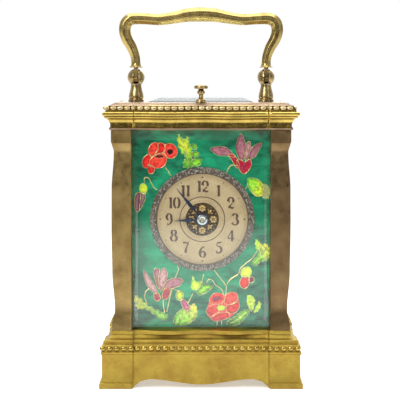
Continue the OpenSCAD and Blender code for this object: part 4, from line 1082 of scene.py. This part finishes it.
# Right: round leaf
art.cell([(29.8, 17.4), (32.2, 15.4), (32.8, 12.6), (31.8, 10.2), (29.2, 10.6), (28.8, 14)], PALE, CREAM,
         steps=4)
art.cell([(22, 19.6), (25, 20), (28.2, 18.4), (29.6, 15.6), (29.2, 12), (26.4, 11), (23.4, 13.6), (21.8, 16.8)],
         LEAF, LIME, tip=YELLOW, root=(22, 18), level=0.08, wire=0.15, shade=LEAF)
art.veins(0.11, 0.22, ((22.4, 17.6), (29.2, 13.4)), ((23.4, 18.2), (27.6, 18.6)), ((24.4, 16.6), (25.6, 11.6)),
          ((25.6, 16), (29.4, 15.8)))
art.stem([(20.8, 14.6), (22.4, 17.4)], 0.2)

# Lower left: pink flower, cups, stems and bud
LOWER_PINK = (
    ([(-28.3, -25), (-26.4, -27.2), (-24.2, -30.4), (-22.2, -34), (-20.8, -37.7), (-23.5, -35.7),
      (-26.1, -33.4), (-28, -29.4)], ROSE, PALE_PINK),
    ([(-23, -24.1), (-20.8, -24.6), (-21.3, -29.2), (-20.8, -33.8), (-22.2, -32), (-23.5, -26.8)], ROSE, PINK),
    ([(-18.4, -23.5), (-16.9, -26.8), (-17.8, -30.7), (-20, -35.1), (-21.1, -31), (-20.8, -26.3)], ROSE,
     PALE_PINK),
    ([(-19.6, -33.6), (-16.5, -29.6), (-12.5, -28.5), (-9.4, -29.6), (-10.8, -32.3), (-13.8, -33.4),
      (-17, -34)], PURPLE, PINK),
    ([(-23.5, -36.4), (-22, -36), (-20.6, -36.8), (-20.4, -38.9), (-22, -40), (-23.2, -38.9)], DEEP_RED,
     CRIMSON),
    ([(-19.5, -37.7), (-18.7, -34.4), (-16.6, -32.8), (-15.5, -34.6), (-15.9, -37), (-17.2, -38.9),
      (-18.7, -39.1)], DEEP_RED, CRIMSON),
)
for i, (outline, rim, heart) in enumerate(LOWER_PINK):
    art.cell(outline, rim, heart, level=0.05 + 0.025 * i, soft=1.0, wire=0.15, shade=ROSE)
for stem in ([(-18.9, -38.9), (-18.9, -42), (-18.2, -45.6)],
             [(-12.1, -34.9), (-14.3, -33.8), (-15.1, -35.5), (-16.2, -40.4), (-17.3, -45.2)],
             [(-25.7, -33.8), (-27.6, -35.5), (-27.9, -38.2), (-26.8, -41.2)],
             [(-12.1, -22.4), (-11.6, -24.6), (-12.6, -27), (-13.4, -29)],
             [(-11.3, -35.4), (-12.1, -34.6)], [(-4.6, -36), (-5.6, -38.4), (-7, -41)],
             [(0.6, -26.8), (0.2, -28.8), (-0.4, -30.6)]):
    art.stem(stem)
art.cell([(-11.6, -34.8), (-9.6, -35.4), (-9.2, -37.8), (-10.4, -39.7), (-12.2, -39), (-12.8, -36.6)], LEAF,
         YELLOW, level=0.1)
art.cell([(-10.3, -39.5), (-8.6, -39.3), (-6.6, -41.6), (-5.3, -44), (-5.1, -47), (-7.7, -45.4), (-9.7, -42.4)],
         ROSE, (0.75, 0.10, 0.30), level=0.07)
art.cell([(-32.9, -37.1), (-30.5, -37.9), (-27.4, -41), (-23, -43.7), (-18.6, -45.4), (-16.6, -47),
          (-17.4, -49.2), (-20.4, -49.2), (-24.4, -46), (-28, -43.8), (-31.4, -44.1),
          (-32.9, -41)], LEAF, LIME, tip=YELLOW,
         root=(-17, -48), teeth=0.6, **LEAF_EDGE, shade=DARK_LEAF)
art.stem([(-31.6, -40.4), (-27, -42.4), (-22, -45.6), (-18, -47.6)], 0.14, 0.2)
art.cell([(-14.3, -50.9), (-13.8, -48), (-12.4, -45.6), (-10.2, -44), (-7.4, -42.9), (-5.2, -41.8),
          (-3.7, -40.8), (-2.4, -44), (-2.6, -47.4), (-4.4, -50), (-8.6, -51.9),
          (-12, -52)], LEAF, LIME, tip=YELLOW,
         root=(-13, -51), level=0.06, teeth=0.5, **LEAF_EDGE, shade=DARK_LEAF)
art.veins(0.11, 0.2, ((-13.4, -51), (-3.8, -41.8)), ((-10.6, -48.4), (-10.4, -44.6)),
          ((-8, -46), (-7.2, -43.4)), ((-10.6, -48.4), (-5, -49.8)), ((-7.4, -45.3), (-2.8, -46.6)))
# Lower middle leaf
art.cell([(-4.6, -27.4), (-3.6, -29.4), (-2.4, -30.5), (-1.1, -29.8), (0.2, -31), (-1, -33.4), (-3.2, -34.8),
          (-5.5, -33.8), (-5.3, -30.6)], LIME, YELLOW, teeth=0.4, **LEAF_EDGE, shade=LEAF)
art.cell([(-0.6, -30.6), (1.6, -31.6), (5.3, -32.5), (4.4, -34), (2.9, -35.1), (1, -36.4), (-1.4, -37.3),
          (-2.6, -36), (-3, -34.6), (-1.2, -33.2)], DARK_LEAF, LIME, level=0.07, teeth=0.4, **LEAF_EDGE,
         shade=DARK_LEAF)
# Lower right: open red flower
OPEN_RED = (
    ([(2, -45.6), (2.2, -43.8), (3.3, -42.4), (6.4, -41.2), (8.6, -42.6), (8.3, -45), (6.2, -46.6),
      (4.2, -47.6)], DEEP_RED, RED),
    ([(4.2, -48.5), (5.6, -46.8), (8.6, -45.6), (12.5, -45.4), (13.2, -47.2), (11.6, -48.6), (9, -49.4),
      (6.2, -49.8)], DEEP_RED, RED),
    ([(15.2, -40.8), (17.8, -40.8), (18, -43), (16.4, -45.2), (13.8, -46), (11.8, -44.8), (12, -42.4)],
     DEEP_RED, RED),
    ([(3.8, -38.2), (5.5, -36.3), (8.6, -36), (11.2, -37.5), (10.6, -39.6), (8.6, -41.2), (5.5, -41.4),
      (3.5, -40.4)], RED, SCARLET),
    ([(10.8, -38.2), (12.3, -36.2), (14.6, -35.5), (16.7, -36.2), (17.4, -38.2), (16.2, -40.4), (13.6, -41.6),
      (11, -41)], RED, SCARLET),
)
art.cell([(2, -45.6), (3.2, -40.8), (3.8, -38.2), (5.5, -36.3), (8.6, -36), (11.4, -37.2), (14.6, -35.7),
          (17.2, -38), (17.8, -42), (16.4, -45.4), (12.6, -48.4), (7.4, -49.6), (4, -48.2)], RED, SCARLET,
         level=0.02, wire=0, shade=DEEP_RED)
for i, (outline, rim, heart) in enumerate(OPEN_RED):
    art.cell(outline, rim, heart, level=0.05 + 0.025 * i, wire=0.15, shade=DEEP_RED)
art.cell([(4.6, -39.6), (5.4, -37.9), (8, -37.4), (10, -38.6), (8.2, -39.6), (6, -40.4)], DEEP_RED, PURPLE,
         level=0.26, wire=0)
art.cell([(7.2, -43.2), (8.2, -42.2), (10, -42.1), (11, -43), (10.2, -44.2), (8.2, -44.4)], LIME, YELLOW,
         level=0.3, wire=0.12)
for k in range(9):
    a = 2 * math.pi * k / 9
    art.stem([(9.1 + x * math.cos(a), -43.2 + z * math.sin(a)) for x, z in ((1.9, 1.2), (2.9, 1.9))], 0.1, 0.32)
for stem in ([(11.2, -37), (11.7, -32.9), (10.8, -31.2), (8.1, -27.7), (5.7, -24.8)],
             [(11.9, -32), (13.4, -29.4), (17.4, -26.8), (18.2, -24.4), (20.4, -22), (23.9, -19.3),
              (26.6, -15.4)],
             [(10.3, -37.1), (9.5, -34.2), (6.4, -32), (5.1, -29.8), (3.2, -29.3), (2, -31)],
             [(7.3, -49.6), (7.1, -51.8)], [(9.3, -49.4), (9.5, -51.8)]):
    art.stem(stem)
# Right: red bud and leaves
art.cell([(18.2, -30.3), (19.4, -28.2), (21.4, -27.6), (22.8, -29), (22.6, -32), (20.6, -33.9), (18.6, -32.7)],
         DEEP_RED, RED)
art.cell([(22.9, -28.4), (24.6, -28.1), (25.2, -29.8), (24, -31), (22.6, -30.2)], MAROON, CRIMSON, level=0.07)
art.cell([(18.6, -25.8), (20.2, -23.6), (22.6, -23.2), (24, -25.2), (23.2, -27.6), (20.8, -28.3), (19, -27.6)],
         LIME, YELLOW, level=0.1)
art.cell([(25.5, -9.7), (27.2, -10.4), (28.5, -12.1), (28.2, -14.4), (26.6, -15.4), (25.6, -13)], LIME, YELLOW,
         teeth=0.4, **LEAF_EDGE)
art.cell([(28.5, -12.1), (31, -11.7), (32.6, -14), (32.7, -17.6), (31.4, -20.4), (28.3, -20.8), (26.6, -22.6),
          (24.6, -22.6), (23.9, -20.6), (26.4, -17.8), (27.4, -15)], LEAF, LIME, tip=YELLOW, root=(24, -22),
         level=0.07, teeth=0.5, **LEAF_EDGE, shade=DARK_LEAF)
art.veins(0.11, 0.2, ((25, -21.6), (31.4, -13.4)), ((28.6, -17), (28.6, -13.4)), ((28.2, -17.4), (31.8, -18.4)))
art.cell([(22.2, -36.9), (24.4, -37.4), (25.7, -39.5), (25.4, -42.6), (23.9, -45.2), (22.2, -42.6),
          (21.5, -40)],
         LIME, YELLOW, teeth=0.35, **LEAF_EDGE, shade=LEAF)
art.cell([(27.9, -39.9), (28.6, -42.4), (27, -45), (24.9, -45.6), (25.9, -42.6)], LIME, YELLOW, level=0.07,
         teeth=0.35, **LEAF_EDGE)
art.cell([(22.4, -44.4), (20.4, -44.4), (18, -46), (15.6, -48), (12.5, -49.6), (12.1, -51.3), (14.8, -51.9),
          (17.8, -51), (20.4, -48.2), (22.6, -46)], LEAF, LIME, tip=DARK_LEAF, root=(22, -45), level=0.09,
         teeth=0.5, **LEAF_EDGE, shade=DARK_LEAF)
art.stem([(21.8, -45.2), (17.6, -48.6), (13.4, -51)], 0.12, 0.22)
art.stem([(22.4, -45), (24.2, -41.6), (23.6, -38.6)], 0.12, 0.22)
art.build("enamel_panel.flowers", M_PETAL, M_WIRE)

# ---------------------------------------------------------------- dial

CHAPTER_Y = box_mm("dial_plate")[0].y
RING_Y = box_mm("dial_ring")[0].y
DISC_Y = box_mm("dial_centre")[0].y
CHAPTER_R, RING_R, HOLE_R = 22.3, 25.2, 10.6
NUMERAL_AT, NUMERAL_H, BOLDNESS = 15.9, 5.7, 1.2
DOTS_AT, FLORETS_AT, STUDS_AT = 20.3, 5.3, 7.05


def chapter_metal():
    """Worn gilding, browner towards its rim."""
    s = Shader("chapter_gilt", Metallic=0.55)
    clouds = s.ramp(s.noise(9.0, 4.0), (0.35, 0.0), (0.68, 1.0))
    body = s.mix(clouds, (0.72, 0.53, 0.32), (0.60, 0.43, 0.25))
    grain = s.noise(0.45, 3.0, (1, 1, 1))
    body = s.mix(s.ramp(grain, (0.45, 0.0), (0.68, 0.5)), body, (0.26, 0.16, 0.07))
    edge = s.ramp(s.span(radial(s, DIAL_X, DIAL_Z), 19.0, CHAPTER_R), (0.0, 0.0), (1.0, 0.45))
    s.set(Base_Color=s.mix(edge, body, (0.33, 0.21, 0.10)),
          Roughness=s.ramp(s.noise(3.0, 3.0), (0.3, 0.42), (0.7, 0.6)))
    s.bump(grain, 0.02)
    return s.material


def stippled():
    """Dark metal punched all over with small bright dots."""
    s = Shader("stippled_ring", Metallic=0.5)
    cells = s.node("ShaderNodeTexVoronoi", {"Vector": s.place()})
    cells.inputs["Scale"].default_value = 1.4
    speck = s.ramp(cells.outputs["Distance"], (0.1, 1.0), (0.5, 0.0))
    mix = s.mix(speck, (0.09, 0.065, 0.055), (0.72, 0.62, 0.54))
    s.set(Base_Color=s.mix(s.ramp(s.noise(5.0, 3.0), (0.4, 0.0), (0.7, 0.45)), mix, (0.20, 0.14, 0.09)),
          Roughness=s.ramp(s.noise(1.0, 2.0), (0.3, 0.35), (0.7, 0.6)))
    s.bump(speck, 0.12)
    return s.material


M_CHAPTER = chapter_metal()
M_STIPPLE = stippled()
M_INK = plain_metal("numeral_ink", (0.085, 0.035, 0.022), (0.13, 0.06, 0.04), 0.6, metallic=0.0)
M_RECESS = brass("dial_recess", (0.17, 0.10, 0.055), (0.09, 0.055, 0.035), (0.05, 0.03, 0.02), (0.35, 0.5),
                 0.02, 2.0)
M_FLORET = brass("floret_gilt", (0.86, 0.58, 0.26), (0.66, 0.42, 0.17), (0.2, 0.11, 0.04), (0.25, 0.4), 0.01,
                 2.0)
finish_nodes(M_CHAPTER, "dial_gilt", "dial_plate")
finish_nodes(M_STIPPLE, "dial_ring", "dial_ring")
finish_nodes(M_RECESS, "dial_gilt", "dial_centre")


def hoop(name, radius, y, r, material, slot, squash=1.0, n=128):
    """A thin ring round the dial's axis with an oval section."""
    verts = []
    for k in range(n):
        a = 2 * math.pi * k / n
        for m in range(8):
            b = 2 * math.pi * m / 8
            rr = radius + r * math.cos(b)
            verts.append((DIAL_X + rr * math.cos(a), y + r * squash * math.sin(b), DIAL_Z + rr * math.sin(a)))
    faces = [(k * 8 + m, k * 8 + (m + 1) % 8, (k + 1) % n * 8 + (m + 1) % 8, (k + 1) % n * 8 + m)
             for k in range(n) for m in range(8)]
    return new_object(name, verts, faces, material, slot=slot, sharp=80)


hoop("dial_plate.rim_line", CHAPTER_R - 0.1, RING_Y - 0.02, 0.24, M_INK, "dial_gilt", 0.35)
hoop("dial_plate.inner_line", HOLE_R + 0.25, CHAPTER_Y - 0.01, 0.2, M_INK, "dial_gilt", 0.35)
hoop("dial_plate.inner_lip", HOLE_R - 0.3, CHAPTER_Y - 0.16, 0.34, M_CHAPTER, "dial_gilt", 0.5)
hoop("dial_centre.band_outer", 9.5, CHAPTER_Y - 0.16, 0.62, M_CHAPTER, "dial_gilt", 0.4)
hoop("dial_centre.band_inner", 8.45, CHAPTER_Y - 0.16, 0.45, M_CHAPTER, "dial_gilt", 0.5)
hoop("dial_centre.bead_line", 7.75, CHAPTER_Y - 0.14, 0.3, M_RECESS, "dial_gilt", 0.6)
hoop("dial_ring.outer_lip", RING_R - 0.22, RING_Y + 0.12, 0.22, M_STIPPLE, "dial_ring", 0.7)


def bowl(cx, cy, rx, ry, a0, a1, thin=0.07, thick=0.17, n=9):
    """A stroke round part of an oval, thick at its sides and thin at its top and bottom."""
    out = []
    for i in range(n):
        a = math.radians(a0 + (a1 - a0) * i / (n - 1))
        w = thin + (thick - thin) * abs(math.cos(a)) ** 1.3
        out.append((cx + rx * math.cos(a), cy + ry * math.sin(a), w))
    return out


# Strokes of (across, up, width) in shares of the figure's height
DIGITS = {
    "0": [bowl(0.3, 0.5, 0.23, 0.46, 100, 260), bowl(0.3, 0.5, 0.23, 0.46, 80, -80)],
    "1": [[(0.3, 0.03, 0.19), (0.3, 0.5, 0.16), (0.3, 0.97, 0.19)], [(0.23, 0.95, 0.05), (0.14, 0.86, 0.08)]],
    "2": [bowl(0.3, 0.68, 0.22, 0.28, 195, -35), [(0.44, 0.45, 0.12), (0.3, 0.32, 0.07), (0.12, 0.16, 0.12)],
          [(0.1, 0.07, 0.12), (0.26, 0.13, 0.13), (0.42, 0.05, 0.13), (0.56, 0.14, 0.07)],
          [(0.16, 0.6, 0.13), (0.22, 0.58, 0.12)]],
    "3": [bowl(0.28, 0.76, 0.19, 0.2, 170, -60), bowl(0.28, 0.28, 0.25, 0.26, 75, -160),
          [(0.1, 0.2, 0.13), (0.15, 0.24, 0.1)]],
    "4": [[(0.4, 0.96, 0.06), (0.2, 0.6, 0.08), (0.04, 0.3, 0.06)], [(0.04, 0.27, 0.08), (0.3, 0.27, 0.09)],
          [(0.5, 0.27, 0.09), (0.62, 0.27, 0.08)], [(0.42, 0.03, 0.17), (0.42, 0.5, 0.16), (0.42, 0.97, 0.12)]],
    "5": [[(0.16, 0.94, 0.1), (0.34, 0.9, 0.11), (0.54, 0.97, 0.09)], [(0.15, 0.86, 0.07), (0.14, 0.62, 0.06)],
          bowl(0.28, 0.32, 0.25, 0.29, 110, -140), [(0.08, 0.16, 0.14), (0.13, 0.2, 0.1)]],
    "6": [[(0.5, 0.93, 0.08), (0.32, 0.88, 0.09), (0.16, 0.68, 0.14), (0.09, 0.42, 0.17), (0.14, 0.18, 0.13),
           (0.28, 0.05, 0.07)], bowl(0.33, 0.29, 0.2, 0.26, 150, -80)],
    "7": [[(0.06, 0.88, 0.14), (0.2, 0.95, 0.1), (0.36, 0.88, 0.11), (0.56, 0.95, 0.08)],
          [(0.52, 0.86, 0.07), (0.4, 0.6, 0.09), (0.3, 0.34, 0.15), (0.28, 0.04, 0.18)]],
    "8": [bowl(0.3, 0.76, 0.18, 0.2, 100, 260), bowl(0.3, 0.76, 0.18, 0.2, 80, -80),
          bowl(0.3, 0.28, 0.24, 0.25, 100, 260), bowl(0.3, 0.28, 0.24, 0.25, 80, -80)],
    "9": [bowl(0.27, 0.69, 0.2, 0.27, -30, 260), [(0.46, 0.6, 0.15), (0.5, 0.42, 0.16), (0.42, 0.2, 0.13),
          (0.26, 0.06, 0.08), (0.1, 0.06, 0.08)], [(0.12, 0.14, 0.12), (0.16, 0.16, 0.1)]],
}


def close_off(start, rings, n, faces):
    """Adds the sides and both ends of a rod of rings of n points."""
    faces += grid_faces(rings, n, start=start)
    faces += [tuple(start + k for k in range(n)), tuple(start + (rings - 1) * n + k for k in range(n))]


def numeral(text, cx, cz, height, verts, faces):
    """Adds raised strokes for a number centred at (cx, cz) on the chapter plate."""
    # Two-figure numbers stand closer together
    advance = {"10": 0.5, "11": 0.42, "12": 0.48}.get(text, 0)
    width = advance * (len(text) - 1) + 0.6
    for i, digit in enumerate(text):
        for stroke in DIGITS[digit]:
            line = catmull(stroke, 4)
            start = len(verts)
            for j, (u, v, w) in enumerate(line):
                a, b = line[max(j - 1, 0)], line[min(j + 1, len(line) - 1)]
                t = Vector((b[0] - a[0], b[1] - a[1])).normalized()
                n = Vector((-t.y, t.x)) * w / 2 * BOLDNESS
                x0 = cx + (u + i * advance - width / 2) * height
                z0 = cz + (v - 0.5) * height
                for side_of, y in ((1, 0.0), (1, -0.05), (-1, -0.05), (-1, 0.0)):
                    verts.append((x0 + side_of * n.x * height, CHAPTER_Y + y, z0 + side_of * n.y * height))
            close_off(start, len(line), 4, faces)


verts, faces = [], []
for hour in range(1, 13):
    a = math.radians(90 - 30 * hour)
    numeral(str(hour), DIAL_X + NUMERAL_AT * math.cos(a), DIAL_Z + NUMERAL_AT * math.sin(a), NUMERAL_H, verts,
            faces)
new_object("dial_plate.numerals", verts, faces, M_INK, slot="dial_gilt", sharp=20)
verts, faces = [], []
for minute in range(60):
    # Dots grow at the hours and again at the quarters
    a = math.radians(6 * minute)
    r = (0.42 if minute % 15 == 0 else 0.3) if minute % 5 == 0 else 0.12
    x, z = DIAL_X + DOTS_AT * math.cos(a), DIAL_Z + DOTS_AT * math.sin(a)
    for ring_r, y in ((r, 0.0), (r, -0.03), (r * 0.7, -0.06)):
        verts += [(x + ring_r * math.cos(math.pi * k / 4), CHAPTER_Y + y,
                   z + ring_r * math.sin(math.pi * k / 4)) for k in range(8)]
    close_off(24 * minute, 3, 8, faces)
new_object("dial_plate.dots", verts, faces, M_INK, slot="dial_gilt", sharp=80)


def dome(cx, cz, r, h, y, verts, faces, n=12):
    """Adds a round boss that stands h in front of y."""
    start = len(verts)
    for i in range(5):
        phi = math.pi / 2 * i / 4
        for k in range(n):
            a = 2 * math.pi * k / n
            rr = r * math.cos(phi) if i < 4 else r * 0.05
            verts.append((cx + rr * math.cos(a), y - h * math.sin(phi), cz + rr * math.sin(a)))
    close_off(start, 5, n, faces)


def leaf(x0, z0, angle, length, width, y, h, verts, faces):
    """Adds a raised leaf with a ridge along its middle."""
    start = len(verts)
    c, s = math.cos(angle), math.sin(angle)
    stations = 7
    for i in range(stations):
        t = i / (stations - 1)
        w = width / 2 * math.sin(math.pi * (0.06 + 0.88 * t)) ** 0.8
        u = length * t
        for side_w, dy in ((w, 0.0), (0, -h), (-w, 0.0), (0, 0.05)):
            verts.append((x0 + u * c - side_w * s, y + dy, z0 + u * s + side_w * c))
    close_off(start, stations, 4, faces)


verts, faces = [], []
for k in range(8):
    # Flowers and leaf sprays take turns round the centre
    a = math.pi / 4 * k
    x, z = DIAL_X + FLORETS_AT * math.cos(a), DIAL_Z + FLORETS_AT * math.sin(a)
    if k % 2 == 0:
        for p in range(6):
            b = a + 2 * math.pi * p / 6
            dome(x + 1.15 * math.cos(b), z + 1.15 * math.sin(b), 0.6, 0.3, DISC_Y - 0.02, verts, faces)
        dome(x, z, 0.42, 0.42, DISC_Y - 0.05, verts, faces)
    else:
        for turn, size in ((-1.15, 1.9), (1.15, 1.9), (0.0, 1.7)):
            leaf(x - 0.5 * math.cos(a), z - 0.5 * math.sin(a), a + turn, size, 0.7, DISC_Y - 0.02, 0.2, verts,
                 faces)
        dome(x - 0.9 * math.cos(a), z - 0.9 * math.sin(a), 0.5, 0.35, DISC_Y - 0.02, verts, faces)
for k in range(24):
    a = math.pi / 12 * (k + 0.5)
    dome(DIAL_X + STUDS_AT * math.cos(a), DIAL_Z + STUDS_AT * math.sin(a), 0.24, 0.2, DISC_Y - 0.01, verts,
         faces, 8)
new_object("dial_centre.florets", verts, faces, M_FLORET, slot="dial_gilt", sharp=25)

COLLET_LOW, COLLET_HIGH = box_mm("hand_collet")
collet = [(0.0, COLLET_HIGH.y), (2.05, COLLET_HIGH.y), (2.1, COLLET_LOW.y + 0.75), (2.4, COLLET_LOW.y + 0.65),
          (2.5, COLLET_LOW.y + 0.45), (2.4, COLLET_LOW.y + 0.2), (2.0, COLLET_LOW.y + 0.06),
          (1.5, COLLET_LOW.y + 0.02), (1.15, COLLET_LOW.y + 0.12), (1.05, COLLET_LOW.y + 0.35),
          (0.0, COLLET_LOW.y + 0.38)]
hub = lathe("hand_collet.turned", collet, (DIAL_X, 0, DIAL_Z), M_STEEL, axis="Y",
            body="centre_arbor", slot="steel", n=48)
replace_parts(hub, "hand_collet")
lathe("hand_collet.nut", [(0, COLLET_LOW.y + 0.36), (0.75, COLLET_LOW.y + 0.36), (0.75, COLLET_LOW.y + 0.16),
                          (0.3, COLLET_LOW.y + 0.14), (0.22, COLLET_LOW.y + 0.3), (0, COLLET_LOW.y + 0.3)],
      (DIAL_X, 0, DIAL_Z), M_BLUED, axis="Y", body="centre_arbor", slot="blued_steel", n=6, sharp=20)
